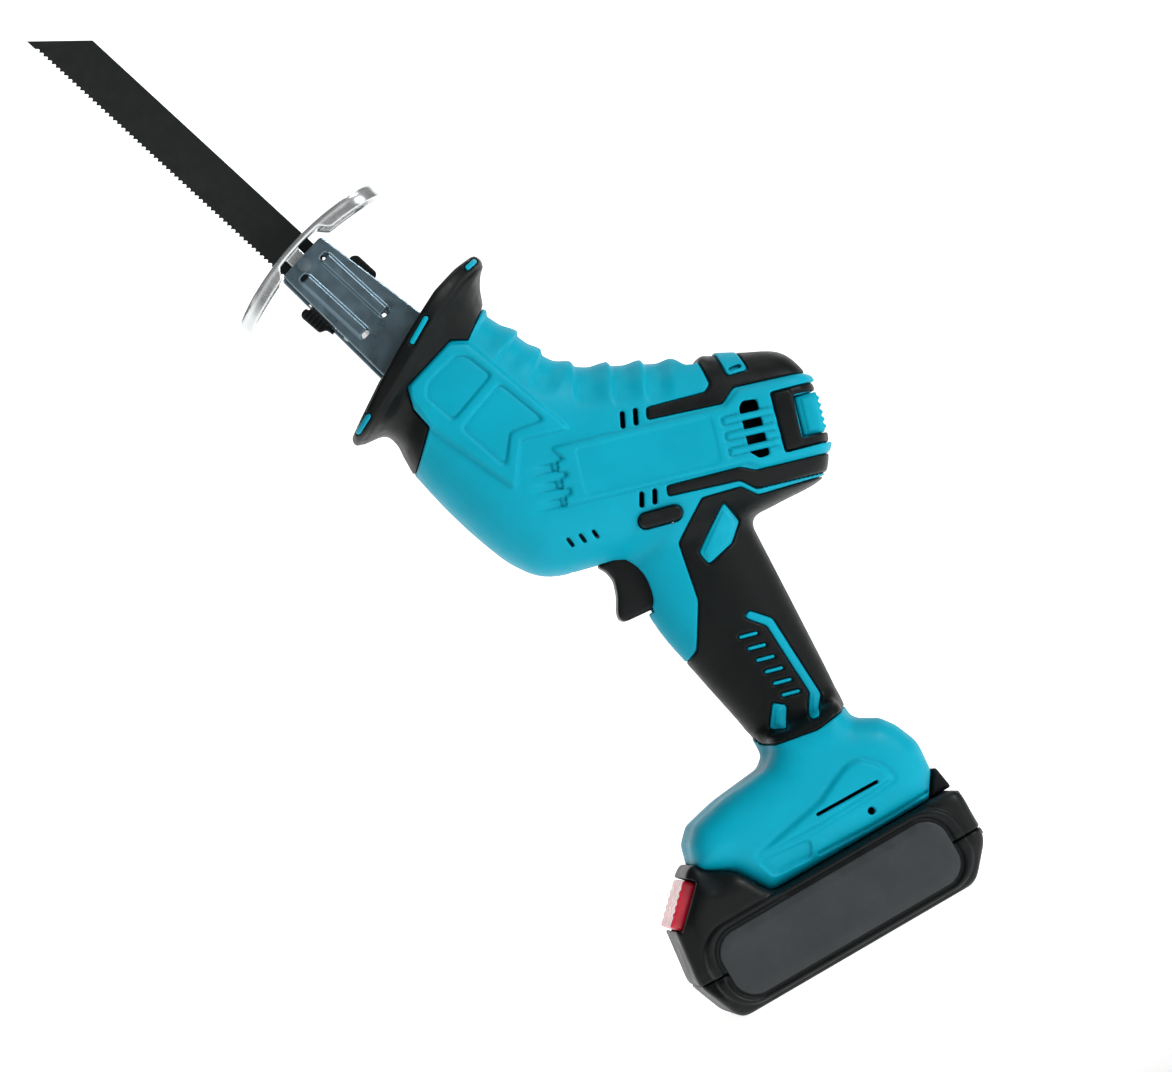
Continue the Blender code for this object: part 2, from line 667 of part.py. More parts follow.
def build_crank():
    """Crank gear with its crown of teeth, its stub shaft, its pin and the bearing it turns in."""
    disc = turned(CRANK, SIDE, ((-19.8, 4.0), (GEAR_BACK, 4.0), (GEAR_BACK, GEAR_RADIUS),
                                (GEAR_FRONT, GEAR_RADIUS), (GEAR_FRONT, 4.0 + GAP)), count=32)
    crown = tube(CRANK, SIDE, GEAR_FRONT - 1.0, GEAR_TOOTH_TOP, 19.0, GEAR_RADIUS - 0.5, 32)
    for tooth in range(GEAR_TEETH):
        angle = 2.0 * math.pi * tooth / GEAR_TEETH
        notch = box((18.0, 26.0), (GEAR_TOOTH_TOP - 1.4, GEAR_TOOTH_TOP + 1.0), (-1.1, 1.1))
        notch.data.transform(Matrix.Translation(CRANK) @ Matrix.Rotation(angle, 4, SIDE))
        crown = cut(crown, notch)
    pin_at = CRANK + NOSE_UP * CRANK_THROW
    gear = cut(join(disc, crown), rod(pin_at, SIDE, GEAR_FRONT - 3.0, 5.0, PIN_RADIUS + GAP, 16))
    place("crank_gear", gear, "grey_steel", "crank")
    place("crank_pin", rod(pin_at, SIDE, GEAR_FRONT - 2.6, YOKE_BACK - GAP, PIN_RADIUS, 16),
          "bright_steel", "crank")
    place("crank_bearing", tube(CRANK, SIDE, -19.2, GEAR_BACK - 1.3, 4.0 + GAP, BUSH_RADIUS),
          "bright_steel")


def build_plunger():
    """Plunger rod with its cross-slotted yoke, and what guides it."""
    yoke = nose_bar((-YOKE_HALF_WIDTH, YOKE_HALF_WIDTH), (-YOKE_HALF_LENGTH, YOKE_HALF_LENGTH),
                    (YOKE_BACK, YOKE_FRONT))
    slot = slot_outline(flat(nose(0.0, -CRANK_THROW)), flat(nose(0.0, CRANK_THROW)),
                        PIN_RADIUS + GAP)
    yoke = cut(yoke, prism(slot, -10.0, 10.0))
    bar = rod(CRANK, NOSE_AXIS, YOKE_HALF_WIDTH - 1.0, BLADE_START - 8.0, ROD_RADIUS)
    place("plunger", join(yoke, bar), "bright_steel", "plunger")
    place("plunger_bush_rear", tube(CRANK, NOSE_AXIS, 26.5, 32.0, ROD_RADIUS + GAP, BUSH_RADIUS),
          "bronze")
    place("plunger_bush_front", tube(CRANK, NOSE_AXIS, 36.0, 58.0, ROD_RADIUS + GAP, BUSH_RADIUS),
          "bronze")
    block = nose_bar((34.0, 60.0), (-10.5, 18.0), (-BRACKET_IN + GAP, BRACKET_IN - GAP))
    place("plunger_block", cut(block, rod(CRANK, NOSE_AXIS, 20.0, 80.0, BUSH_RADIUS + GAP)),
          "grey_steel")
    place("nose_seal", tube(CRANK, NOSE_AXIS, 60.4, 64.0, ROD_RADIUS + GAP, 10.5), "black_rubber")


# ---------------------------------------------------------------- blade, clamp, bracket and shoe
def build_blade():
    """Blade with a tang, raked tip and one straight row of teeth."""
    outline = [(BLADE_START, -TANG_HALF), (BLADE_SHOULDER - 3.0, -TANG_HALF),
               (BLADE_SHOULDER, BLADE_TOOTH_EDGE + TOOTH_DEPTH)]
    teeth = int((BLADE_TIP - 2.0 - BLADE_SHOULDER - 2.0) / TOOTH_PITCH)
    for tooth in range(teeth):
        along = BLADE_SHOULDER + 2.0 + tooth * TOOTH_PITCH
        outline.append((along, BLADE_TOOTH_EDGE + TOOTH_DEPTH))
        outline.append((along + 0.35 * TOOTH_PITCH, BLADE_TOOTH_EDGE))
    outline += [(BLADE_TIP, BLADE_TOOTH_EDGE), (BLADE_BACK_END, BLADE_BACK),
                (BLADE_SHOULDER + 2.0, BLADE_BACK), (BLADE_SHOULDER - 3.0, TANG_HALF),
                (BLADE_START, TANG_HALF)]
    side_view = [flat(nose(s, t)) for s, t in outline]
    place("saw_blade", prism(side_view, -BLADE_THICK / 2.0, BLADE_THICK / 2.0), "dark_steel", "plunger")


def build_clamp():
    """Slotted clamp body on the plunger, with its twist collar, spring and retaining ring."""
    slot_reach = TANG_HALF + GAP
    body = rod(CRANK, NOSE_AXIS, BLADE_START - 7.7, COLLAR_END + 4.0, CLAMP_RADIUS)
    flange = rod(CRANK, NOSE_AXIS, BLADE_START - 7.7, BLADE_START - 5.5, 9.6)
    body = cut(join(body, flange), nose_bar((BLADE_START - GAP, 140.0), (-slot_reach, slot_reach),
                                            (-BLADE_THICK / 2.0 - GAP, BLADE_THICK / 2.0 + GAP)))
    place("clamp_body", body, "grey_steel", "plunger")
    collar = tube(CRANK, NOSE_AXIS, COLLAR_START, COLLAR_END, CLAMP_RADIUS + GAP, 10.2)
    for near, far in ((9.0, 17.4), (-14.6, -9.0)):
        collar = join(collar, nose_bar((COLLAR_START, COLLAR_END), (near, far), (-2.2, 2.2)))
    place("clamp_collar", collar, "black_plastic", "clamp")
    place("clamp_ring", tube(CRANK, NOSE_AXIS, COLLAR_END + 0.4, COLLAR_END + 1.6,
                             CLAMP_RADIUS + GAP, 9.2), "bright_steel", "plunger")
    place("clamp_spring", coil(CRANK, NOSE_AXIS, BLADE_START - 4.6, COLLAR_START - 1.0, 8.5, 0.5, 3),
          "bright_steel", "plunger")


def coil(base, axis, start, end, radius, wire, turns, steps=10):
    """Helical spring round an axis, between two distances along it."""
    rings = []
    count = turns * steps
    across = NOSE_UP if axis == NOSE_AXIS else Vector((0.0, 0.0, 1.0))
    other = axis.cross(across)
    for k in range(count + 1):
        angle = 2.0 * math.pi * k / steps
        outward = across * math.cos(angle) + other * math.sin(angle)
        centre = base + axis * (start + (end - start) * k / count) + outward * radius
        rings.append([centre + outward * wire * math.cos(turn) + axis * wire * math.sin(turn)
                      for turn in (math.pi * i / 2.5 for i in range(5))])
    return loft(rings)


def build_bracket():
    """Two pressed side plates from the plunger block to the shoe, each with two ribs."""
    corners = ((34.0, -10.5), (72.0, -10.5), (125.0, -8.6), (125.0, 12.3), (72.0, 17.2), (34.0, 17.8))
    side_view = [flat(nose(s, t)) for s, t in corners]
    for side, sign in (("left", -1.0), ("right", 1.0)):
        faces = sorted((sign * BRACKET_IN, sign * BRACKET_OUT))
        plate = prism(side_view, *faces)
        for height in (8.4, -3.6):
            rib = slot_outline(flat(nose(88.0, height)), flat(nose(117.0, height)), 2.4)
            plate = join(plate, prism(rib, *sorted((sign * 13.0, sign * 14.7))))
            for along in (88.0, 117.0):
                plate = cut(plate, rod(nose(along, height), SIDE, -20.0, 20.0, 1.3, 12))
        plate = cut(plate, rod(nose(SHOE_PIVOT, 0.0), SIDE, -20.0, 20.0, RIVET_RADIUS + GAP, 12))
        place("bracket_" + side, plate, "grey_steel")


def build_shoe():
    """Curved shoe with a slot for the blade, turned-back edges and two lugs, and its rivets."""
    def arc(depth, steps=10):
        """Side-view points of the shoe's curve, depth behind its front face."""
        centre_s = SHOE_FRONT - SHOE_CURVE
        points = []
        for k in range(steps + 1):
            t = SHOE_LOW + (SHOE_HIGH - SHOE_LOW) * k / steps
            angle = math.asin((t - SHOE_CENTRE) / SHOE_CURVE)
            reach = SHOE_CURVE - depth
            points.append(flat(nose(centre_s + reach * math.cos(angle),
                                    SHOE_CENTRE + reach * math.sin(angle))))
        return points

    plate = prism(arc(0.0) + arc(SHOE_THICK)[::-1], -SHOE_HALF_WIDTH, SHOE_HALF_WIDTH)
    band = arc(0.6) + arc(SHOE_FLANGE)[::-1]
    for sign in (-1.0, 1.0):
        edge = sorted((sign * (SHOE_HALF_WIDTH - 1.8), sign * SHOE_HALF_WIDTH))
        plate = join(plate, prism(band, *edge))
    plate = cut(plate, nose_bar((110.0, 140.0), (-12.5, 13.5), (-4.0, 4.0)))
    for sign in (-1.0, 1.0):
        lug = nose_bar((SHOE_PIVOT, SHOE_FRONT - 1.2), (-3.4, 3.4), sorted((sign * 8.9, sign * 11.4)))
        eye = rod(nose(SHOE_PIVOT, 0.0), SIDE, *sorted((sign * 8.9, sign * 11.4)), 3.4, 16)
        plate = join(plate, lug, eye)
    plate = cut(plate, rod(nose(SHOE_PIVOT, 0.0), SIDE, -13.0, 13.0, RIVET_RADIUS + GAP, 12))
    corners = rounded([(x, z, 14.0) for x, z in ((SHOE_LOW, -SHOE_HALF_WIDTH), (SHOE_HIGH, -SHOE_HALF_WIDTH),
                                                 (SHOE_HIGH, SHOE_HALF_WIDTH), (SHOE_LOW, SHOE_HALF_WIDTH))])
    footprint = loft([[nose(s, t, y) for t, y in corners] for s in (100.0, 140.0)])
    place("shoe", common(plate, footprint), "bright_steel", "shoe")
    for side, sign in (("left", -1.0), ("right", 1.0)):
        profile = ((sign * 8.0, RIVET_RADIUS), (sign * (BRACKET_OUT + GAP), RIVET_RADIUS),
                   (sign * (BRACKET_OUT + GAP), 2.8), (sign * 15.0, 2.8))
        place("shoe_rivet_" + side, turned(nose(SHOE_PIVOT, 0.0), SIDE, profile, count=16), "grey_steel")


# ---------------------------------------------------------------- controls
def build_controls():
    """Trigger with its switch and spring, and the lock button across the handle."""
    outline = rounded(((-13.4, 175.0, 1.5), (-8.6, 168.0, 6.0), (-15.6, 153.6, 3.0),
                       (-14.4, 151.0, 1.5), (-2.0, 149.4, 1.5), (7.5, 149.4, 0.0),
                       (7.5, 170.5, 0.0), (0.0, 175.0, 0.0)))
    trigger = prism(outline, -TRIGGER_HALF_WIDTH, TRIGGER_HALF_WIDTH)
    level = Vector((0.0, 0.0, 160.0))
    ahead = Vector((1.0, 0.0, 0.0))
    place("trigger", cut(trigger, rod(level, ahead, -3.0, 20.0, 3.2, 16)), "black_plastic", "trigger")
    switch = box((14.4, 31.6), (-8.5, 8.5), (142.0, 170.5))
    place("switch_body", switch, "black_plastic")
    place("trigger_spring", coil(level, ahead, 4.0, 13.6, 2.2, 0.35, 4), "bright_steel")
    start, end = lock_ends()
    bar = prism(slot_outline(start, end, LOCK_HEIGHT / 2.0), -27.0, 27.0)
    place("lock_button", bar, "black_plastic", "lock")


# ---------------------------------------------------------------- foot, rail contacts and pack
def build_foot_parts():
    """Terminal block with two contact blades, and the rubber bumper behind the rail."""
    bumper = prism(rounded(((51.6, 35.4, 0.0), (61.0, 35.4, 1.0), (59.4, 44.6, 1.5),
                            (58.3, 45.2, 0.0))), -24.0, 24.0)
    place("foot_bumper", bumper, "black_rubber")
    place("terminal_block", box((46.8, 50.5), (-14.0, 14.0), (37.3, 49.7)), "black_plastic")
    for side, sign in (("left", -1.0), ("right", 1.0)):
        place("contact_" + side, box((32.0, 46.5), sorted((sign * 8.6, sign * 9.4)), (39.4, 41.4)),
              "copper")


def pack_outline():
    """Side view of the pack's case with its latch tower."""
    corners = ((-53.0, 0.0, 10.0), (50.5, 0.0, 10.0), (61.2, 12.5, 4.0), (61.8, 34.4, 0.0),
               (-19.6, 34.4, 0.0), (-28.0, 49.2, 0.0), (-38.1, 55.2, 0.0), (-39.4, 61.6, 1.5),
               (-57.0, 44.4, 3.0), (-60.0, 18.0, 8.0))
    return rounded(corners)


def build_battery():
    """Pack case in two halves with its rail, side panels, cells, board and release button."""
    case = prism(pack_outline(), -PACK_HALF_WIDTH, PACK_HALF_WIDTH)
    section = rounded([(-PACK_HALF_WIDTH, -1.0, 5.0), (PACK_HALF_WIDTH, -1.0, 5.0),
                       (PACK_HALF_WIDTH, 62.5, 4.0), (-PACK_HALF_WIDTH, 62.5, 4.0)])
    ends = loft([[Vector((x, y, z)) for y, z in section] for x in (-70.0, 70.0)])
    case = common(case, ends)
    neck = box((RAIL_FRONT, RAIL_REAR), (-RAIL_NECK, RAIL_NECK), (30.0, RAIL_STEP))
    head = box((RAIL_FRONT, RAIL_REAR), (-RAIL_HEAD, RAIL_HEAD), (RAIL_STEP - 0.1, RAIL_TOP))
    case = join(case, neck, head)
    for sign in (-1.0, 1.0):
        slot = sorted((sign * 8.0, sign * 10.0))
        case = cut(case, box((31.0, 50.0), slot, (38.9, RAIL_TOP - 0.3)))
    panel = rounded(((-49.0, 3.4, 9.0), (50.0, 3.4, 9.0), (50.0, 31.4, 9.0), (-49.0, 31.4, 9.0)))
    for side, sign in (("left", -1.0), ("right", 1.0)):
        recess = sorted((sign * (PACK_HALF_WIDTH - 1.6), sign * 60.0))
        case = cut(case, prism(panel, *recess))
        inner = rounded(((-48.7, 3.7, 8.7), (49.7, 3.7, 8.7), (49.7, 31.1, 8.7), (-48.7, 31.1, 8.7)))
        face = sorted((sign * (PACK_HALF_WIDTH - 1.3), sign * (PACK_HALF_WIDTH - 0.1)))
        place("pack_panel_" + side, prism(inner, *face), "grey_plastic", "battery")
    step = release_bar(9.0, STEP_DEPTH, 2.0 * PACK_HALF_WIDTH, BUTTON_HALF_LENGTH + 2.0 * GAP)
    pocket = release_bar(9.0, POCKET_DEPTH, BUTTON_HALF_WIDTH + GAP, BUTTON_HALF_LENGTH + GAP)
    case = cut(case, step, pocket)
    lower = common(copy(case), box((-80.0, 80.0), (-60.0, 60.0), (-5.0, PACK_SPLIT - PART_PLANE)))
    lower = cut(lower, pack_hollow())
    upper = common(case, box((-80.0, 80.0), (-60.0, 60.0), (PACK_SPLIT + PART_PLANE, 80.0)))
    upper = cut(upper, pack_hollow())
    place("pack_case_lower", lower, "black_plastic", "battery")
    place("pack_case_upper", upper, "black_plastic", "battery")
    button = release_bar(BUTTON_PROUD, BUTTON_DEPTH, BUTTON_HALF_WIDTH, BUTTON_HALF_LENGTH)
    place("release_button", button, "red_plastic", "release")
    for index in range(CELL_COUNT):
        x = (index - (CELL_COUNT - 1) / 2.0) * CELL_PITCH
        cell = rod(Vector((x, 0.0, 3.4 + CELL_RADIUS)), SIDE, -CELL_HALF_LENGTH, CELL_HALF_LENGTH,
                   CELL_RADIUS, 24)
        place("cell_%d" % (index + 1), cell, "cell_wrap", "battery")
    place("pack_board", box((-44.0, 44.0), (-24.0, 24.0), (24.5, 26.1)), "cell_wrap", "battery")


def pack_hollow():
    """Room for the cells inside the pack's case."""
    return box((-PACK_WALL_X, PACK_WALL_X), (-PACK_WALL_Y, PACK_WALL_Y), (PACK_FLOOR, PACK_CEILING))


def release_bar(proud, depth, half_width, half_length):
    """Block square to the latch tower's sloping front, from proud of it to a depth inside it."""
    inward = BUTTON_INWARD
    along = Vector((inward.z, 0.0, -inward.x))
    rings = []
    for reach in (-proud, depth):
        centre = BUTTON_MIDDLE + inward * reach
        rings.append([centre + along * a + SIDE * b for a, b in
                      ((-half_length, -half_width), (half_length, -half_width),
                       (half_length, half_width), (-half_length, half_width))])
    return loft(rings)


# ---------------------------------------------------------------- fasteners
def build_screws():
    """Housing screws, driven from the right side."""
    for index, (x, z) in enumerate(SCREW_SPOTS):
        profile = ((SCREW_END, SCREW_RADIUS), (HEAD_FROM, SCREW_RADIUS), (HEAD_FROM, HEAD_RADIUS),
                   (HEAD_TO, HEAD_RADIUS))
        screw = turned(Vector((x, 0.0, z)), SIDE, profile, count=12)
        place("housing_screw_%d" % (index + 1), screw, "dark_steel")


build_rear_cap()
build_front_collar()
build_motor()
build_crank()
build_plunger()
build_blade()
build_clamp()
build_bracket()
build_shoe()
build_controls()
build_foot_parts()
build_battery()
build_screws()
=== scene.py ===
import json
import math

import bmesh
import bpy
import numpy as np
from mathutils import Matrix, Vector


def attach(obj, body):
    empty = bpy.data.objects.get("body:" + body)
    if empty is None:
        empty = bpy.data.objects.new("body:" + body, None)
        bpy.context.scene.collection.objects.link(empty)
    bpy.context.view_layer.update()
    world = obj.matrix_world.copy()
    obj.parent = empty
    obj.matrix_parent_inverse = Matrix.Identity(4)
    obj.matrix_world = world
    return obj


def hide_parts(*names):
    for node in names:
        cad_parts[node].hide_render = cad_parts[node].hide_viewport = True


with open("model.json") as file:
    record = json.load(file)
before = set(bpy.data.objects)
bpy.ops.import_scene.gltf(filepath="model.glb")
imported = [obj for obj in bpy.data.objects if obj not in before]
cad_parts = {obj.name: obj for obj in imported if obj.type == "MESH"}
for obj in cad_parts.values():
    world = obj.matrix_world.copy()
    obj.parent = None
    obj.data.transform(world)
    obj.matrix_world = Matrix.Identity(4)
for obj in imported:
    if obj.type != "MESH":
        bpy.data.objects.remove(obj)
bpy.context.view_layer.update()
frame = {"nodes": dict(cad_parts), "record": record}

# ---------------------------------------------------------------- driving sizes, millimetres
MM = 0.001
HOUSING_STEP = 0.5       # spacing of the sampling grids
FINE = 1.0
MOST_FACES = 96000                         # quads a piece may have
SEAM = 0.12                                # half of the line between two moulded pieces
PART_PLANE = 0.15                          # half of the line between the pack's case halves
WALL = 2.8                                 # wall of the housing
SKIN = 1.6                                 # depth of the beds that the rubber skins lie in
CRANK = np.array((-14.6, 212.4))           # side-view point where the nose and motor lines meet
NOSE_TILT = math.radians(17.4)
MOTOR_TILT = math.radians(16.4)
AXIS_SHIFT = np.array((-15.5, 212.0))      # the same point on the moving parts' own axes

BODY_STATIONS = (
    (-0.4, 279.8, -54.6, 238.8, 29.0),
    (7.2, 264.5, -50.5, 221.0, 29.0),
    (11.6, 254.2, -45.0, 203.5, 29.0),
    (19.0, 245.9, -38.6, 189.3, 28.5),
    (29.0, 240.2, -29.0, 179.6, 28.0),
    (41.0, 234.2, -8.5, 173.4, 27.5),
    (52.0, 228.6, 20.0, 168.0, 27.0),
    (64.5, 223.2, 46.0, 162.0, 27.0),
    (76.0, 217.2, 62.0, 160.6, 26.5),
    (88.0, 210.4, 79.0, 160.6, 25.5),
    (94.0, 199.6, 86.6, 167.5, 22.5),
)
BODY_POWER, BODY_REACH = 2.9, 18.0           # reach: how far the body runs on inside the guard
HANDLE_LEVELS = (
    (184.0, -2.0, 48.0, 16.5),
    (146.0, -4.2, 46.3, 16.5),
    (118.0, 0.8, 45.0, 16.0),
    (90.0, 6.3, 43.4, 16.5),
    (68.0, 7.5, 40.5, 18.0),
)
HANDLE_POWER = 2.4
FOOT_SIDE = (
    (9.6, 86.0), (8.6, 81.0), (3.5, 76.7), (-18.0, 74.4), (-31.0, 71.3), (-36.3, 66.0), (-38.5, 58.0),
    (-37.4, 55.0), (-27.2, 49.0), (-24.7, 45.0), (-18.6, 35.2), (50.8, 35.2), (57.4, 45.0),
    (58.2, 55.0), (57.8, 58.0), (54.5, 66.0), (50.5, 71.5), (45.5, 74.4), (41.2, 76.7), (39.8, 81.0),
    (39.6, 86.0),
)
FOOT_HALF_WIDTH = 35.6
FOOT_ROUND = 15.0

# Nose guard stations, from its rim back to the housing, and its rim in the side view
COLLAR_STATIONS = (
    (6.7, 300.0, -69.2, 263.6, 34.9),
    (7.7, 295.4, -67.4, 259.0, 34.8),
    (5.0, 292.5, -57.6, 257.4, 32.2),
    (2.3, 288.4, -54.8, 252.6, 30.4),
    (0.7, 284.5, -54.9, 246.5, 29.5),
    (-0.5, 281.0, -55.0, 239.6, 29.1),
    (-2.4, 277.0, -54.6, 236.0, 28.9),
)
COLLAR_POWER = 2.5
RIM_FRONT = ((12.0, 300.4), (6.7, 300.2), (-4.4, 298.4), (-15.2, 295.0), (-22.6, 291.2), (-34.0, 285.0),
             (-46.9, 277.5), (-56.4, 271.2), (-69.0, 262.6), (-76.0, 258.0))
RIM_BACK = ((14.0, 296.8), (6.6, 295.6), (-4.7, 292.8), (-18.0, 286.6), (-31.8, 278.4), (-47.1, 270.0),
            (-60.8, 262.4), (-67.4, 258.9), (-76.0, 254.6))
RIM_MARKS = (((0.4, 296.4), (4.4, 297.4)), ((-32.4, 282.2), (-23.6, 287.3)), ((-65.8, 263.4), (-60.2, 266.4)))
FLARE_DEPTH = (0.0, 1.5, 4.0, 8.0, 14.0, 40.0)
FLARE_WIDTH = (35.0, 33.4, 31.2, 29.9, 29.2, 29.0)
RIM_WALL = 3.0
SCREW_SPOTS = ((-3.5, 264.0), (-44.4, 219.6), (32.0, 229.6), (79.0, 201.5),
               (-2.0, 181.5), (36.8, 149.0), (47.5, 57.0), (-23.0, 62.0))


def nose(s, t):
    """Side-view point s along the nose line and t across it, for the mouldings."""
    along = np.array((-math.sin(NOSE_TILT), math.cos(NOSE_TILT)))
    across = np.array((math.cos(NOSE_TILT), math.sin(NOSE_TILT)))
    return tuple(CRANK + along * s + across * t)


def motor(s, n):
    """Side-view point s along the motor line and n above it."""
    along = np.array((math.cos(MOTOR_TILT), -math.sin(MOTOR_TILT)))
    above = np.array((math.sin(MOTOR_TILT), math.cos(MOTOR_TILT)))
    return tuple(CRANK + along * s + above * n)


def on_nose(*points):
    """Side-view outline from places (s, t) on the nose line."""
    return [nose(s, t) for s, t in points]


def on_motor(*points):
    """Side-view outline from places (s, n) on the motor line."""
    return [motor(s, n) for s, n in points]


# ---------------------------------------------------------------- sampled shapes
class Grid:
    """Regular samples of a block of space; x and z are the side view, y the depth."""

    def __init__(self, low, high, step):
        self.low = np.array(low, np.float32) - 2.0 * step
        self.step = step
        counts = [int(math.ceil((h - l) / step)) + 5 for l, h in zip(low, high)]
        axes = [self.low[i] + step * np.arange(counts[i], dtype=np.float32) for i in range(3)]
        self.x = axes[0][:, None, None]
        self.y = axes[1][None, :, None]
        self.z = axes[2][None, None, :]
        self.side_x, self.side_z = np.meshgrid(axes[0], axes[2], indexing="ij")

    def lift(self, side_view):
        """A side-view field, ready to be combined with a field in space."""
        return side_view[:, None, :]

    def outline(self, points, corner=0.0):
        """Side-view field of a closed outline, with its corners rounded over about corner."""
        distance = outline_distance(points, self.side_x, self.side_z)
        return softened(distance, self, corner) if corner else distance

    def capsule(self, ends, radius=0.0):
        """Side-view field of a slot with round ends, or the distance to the line in its middle."""
        return line_distance(ends, self.side_x, self.side_z) - radius

    def beside(self, half_width):
        """Field of everything within half_width of the middle plane."""
        return np.abs(self.y) - half_width


def line_distance(points, x, z, closed=False):
    """Distance to a side-view line, open or closed."""
    corners = np.array(points, np.float32)
    ends = np.roll(corners, -1, axis=0)
    if not closed:
        corners, ends = corners[:-1], ends[:-1]
    nearest = np.full(x.shape, 1e12, np.float32)
    for a, b in zip(corners, ends):
        run, rise = b - a
        across, up = x - a[0], z - a[1]
        share = np.clip((across * run + up * rise) / (run * run + rise * rise + 1e-9), 0.0, 1.0)
        nearest = np.minimum(nearest, (across - run * share) ** 2 + (up - rise * share) ** 2)
    return np.sqrt(nearest)


def outline_distance(points, x, z):
    """Distance to a closed side-view outline, negative inside."""
    corners = np.array(points, np.float32)
    inside = np.zeros(x.shape, bool)
    for a, b in zip(corners, np.roll(corners, -1, axis=0)):
        run, rise = b - a
        if rise != 0.0:
            inside ^= ((a[1] > z) != (b[1] > z)) & (x < run * (z - a[1]) / rise + a[0])
    distance = line_distance(points, x, z, closed=True)
    return np.where(inside, -distance, distance)


def softened(field, grid, reach):
    """A side-view field with its corners rounded, by averaging over about reach."""
    count = max(1, int(round(reach / grid.step)))
    field = np.pad(field, 2 * count, mode="edge")
    for axis in (0, 1):
        for repeat in range(2):
            total = field.copy()
            for offset in range(1, count + 1):
                total += np.roll(field, offset, axis) + np.roll(field, -offset, axis)
            field = total / (2 * count + 1)
    return field[2 * count:-2 * count, 2 * count:-2 * count]


def both(a, b, blend=0.0):
    """Intersection of two fields, with the edge rounded over about blend."""
    if blend == 0.0:
        return np.maximum(a, b)
    return np.maximum(a, b) + np.maximum(blend - np.abs(a - b), 0.0) ** 2 / (4.0 * blend)


def either(a, b, blend=0.0):
    """Union of two fields, with the corner filled over about blend."""
    return -both(-a, -b, blend)


def ease(value):
    """Smooth step from 0 to 1."""
    share = np.clip(value, 0.0, 1.0)
    return share * share * (3.0 - 2.0 * share)


def raised(distance, height, edge=0.8):
    """Height of a raised area, full inside its outline and sloping over its edge."""
    return height * ease(0.5 - distance / edge)


def groove(distance, depth, width):
    """Negative height of a groove along a line."""
    return -depth * np.exp(-(distance / (0.5 * width)) ** 2)


def smooth_rows(rows, steps=6):
    """Rows interpolated with a smooth curve through the given ones."""
    rows = np.array(rows, float)
    padded = np.vstack([2.0 * rows[0] - rows[1], rows, 2.0 * rows[-1] - rows[-2]])
    result = []
    for i in range(1, len(padded) - 2):
        a, b, c, d = padded[i - 1:i + 3]
        for t in np.arange(steps) / steps:
            result.append(0.5 * (2.0 * b + (c - a) * t + (2.0 * a - 5.0 * b + 4.0 * c - d) * t * t
                                 + (3.0 * b - a - 3.0 * c + d) * t ** 3))
    result.append(rows[-1])
    return np.array(result)


def section_field(v, u, half, width, power):
    """Distance-like field of a rounded section; v and u are 1 at its edges."""
    v, u = np.abs(v), np.abs(u)
    size = np.maximum((v ** power + u ** power) ** (1.0 / power), 0.05)
    slope = np.sqrt(((v / size) ** (power - 1.0) / half) ** 2
                    + ((u / size) ** (power - 1.0) / width) ** 2)
    return (size - 1.0) / np.maximum(slope, 1e-9)


def station_map(stations, grid):
    """Where each side-view point lies among slanted stations that follow each other rearwards.

    Gives the place across the station, 1 at its edges, its half height and half width, and the
    distances past the first and the last station.
    """
    rows = smooth_rows(stations).astype(np.float32)
    x, z = grid.side_x, grid.side_z
    middle = (rows[:, 0:2] + rows[:, 2:4]) / 2.0
    half = (rows[:, 0:2] - rows[:, 2:4]) / 2.0
    length = np.linalg.norm(half, axis=1)
    unit = half / length[:, None]

    def past(i):
        return (x - middle[i, 0]) * unit[i, 1] - (z - middle[i, 1]) * unit[i, 0]

    def across(i):
        return ((x - middle[i, 0]) * unit[i, 0] + (z - middle[i, 1]) * unit[i, 1]) / length[i]

    start, end = past(0), past(len(rows) - 1)
    v = np.where(start < 0.0, across(0), across(len(rows) - 1))
    tall = np.where(start < 0.0, length[0], length[-1]).astype(np.float32)
    wide = np.where(start < 0.0, rows[0, 4], rows[-1, 4]).astype(np.float32)
    best = np.where((start < 0.0) | (end >= 0.0), np.abs(v), 1e6)
    before = start
    for i in range(len(rows) - 1):
        after = past(i + 1)
        share = before / np.where(np.abs(before - after) < 1e-6, 1e-6, before - after)
        mx, mz = [middle[i, k] + (middle[i + 1, k] - middle[i, k]) * share for k in (0, 1)]
        hx, hz = [half[i, k] + (half[i + 1, k] - half[i, k]) * share for k in (0, 1)]
        square = hx * hx + hz * hz
        here = ((x - mx) * hx + (z - mz) * hz) / square
        use = (before >= 0.0) & (after < 0.0) & (np.abs(here) < best)
        best = np.where(use, np.abs(here), best)
        v = np.where(use, here, v)
        tall = np.where(use, np.sqrt(square), tall)
        wide = np.where(use, rows[i, 4] + (rows[i + 1, 4] - rows[i, 4]) * share, wide)
        before = after
    return np.where(best > 1e5, 9.0, v).astype(np.float32), tall, wide, start, end


def station_field(stations, grid, power):
    """Field of a body lofted through slanted stations, and the distances past its two ends."""
    v, tall, wide, start, end = station_map(stations, grid)
    field = section_field(grid.lift(v), grid.y / grid.lift(wide), grid.lift(tall), grid.lift(wide), power)
    return field.astype(np.float32), start, end


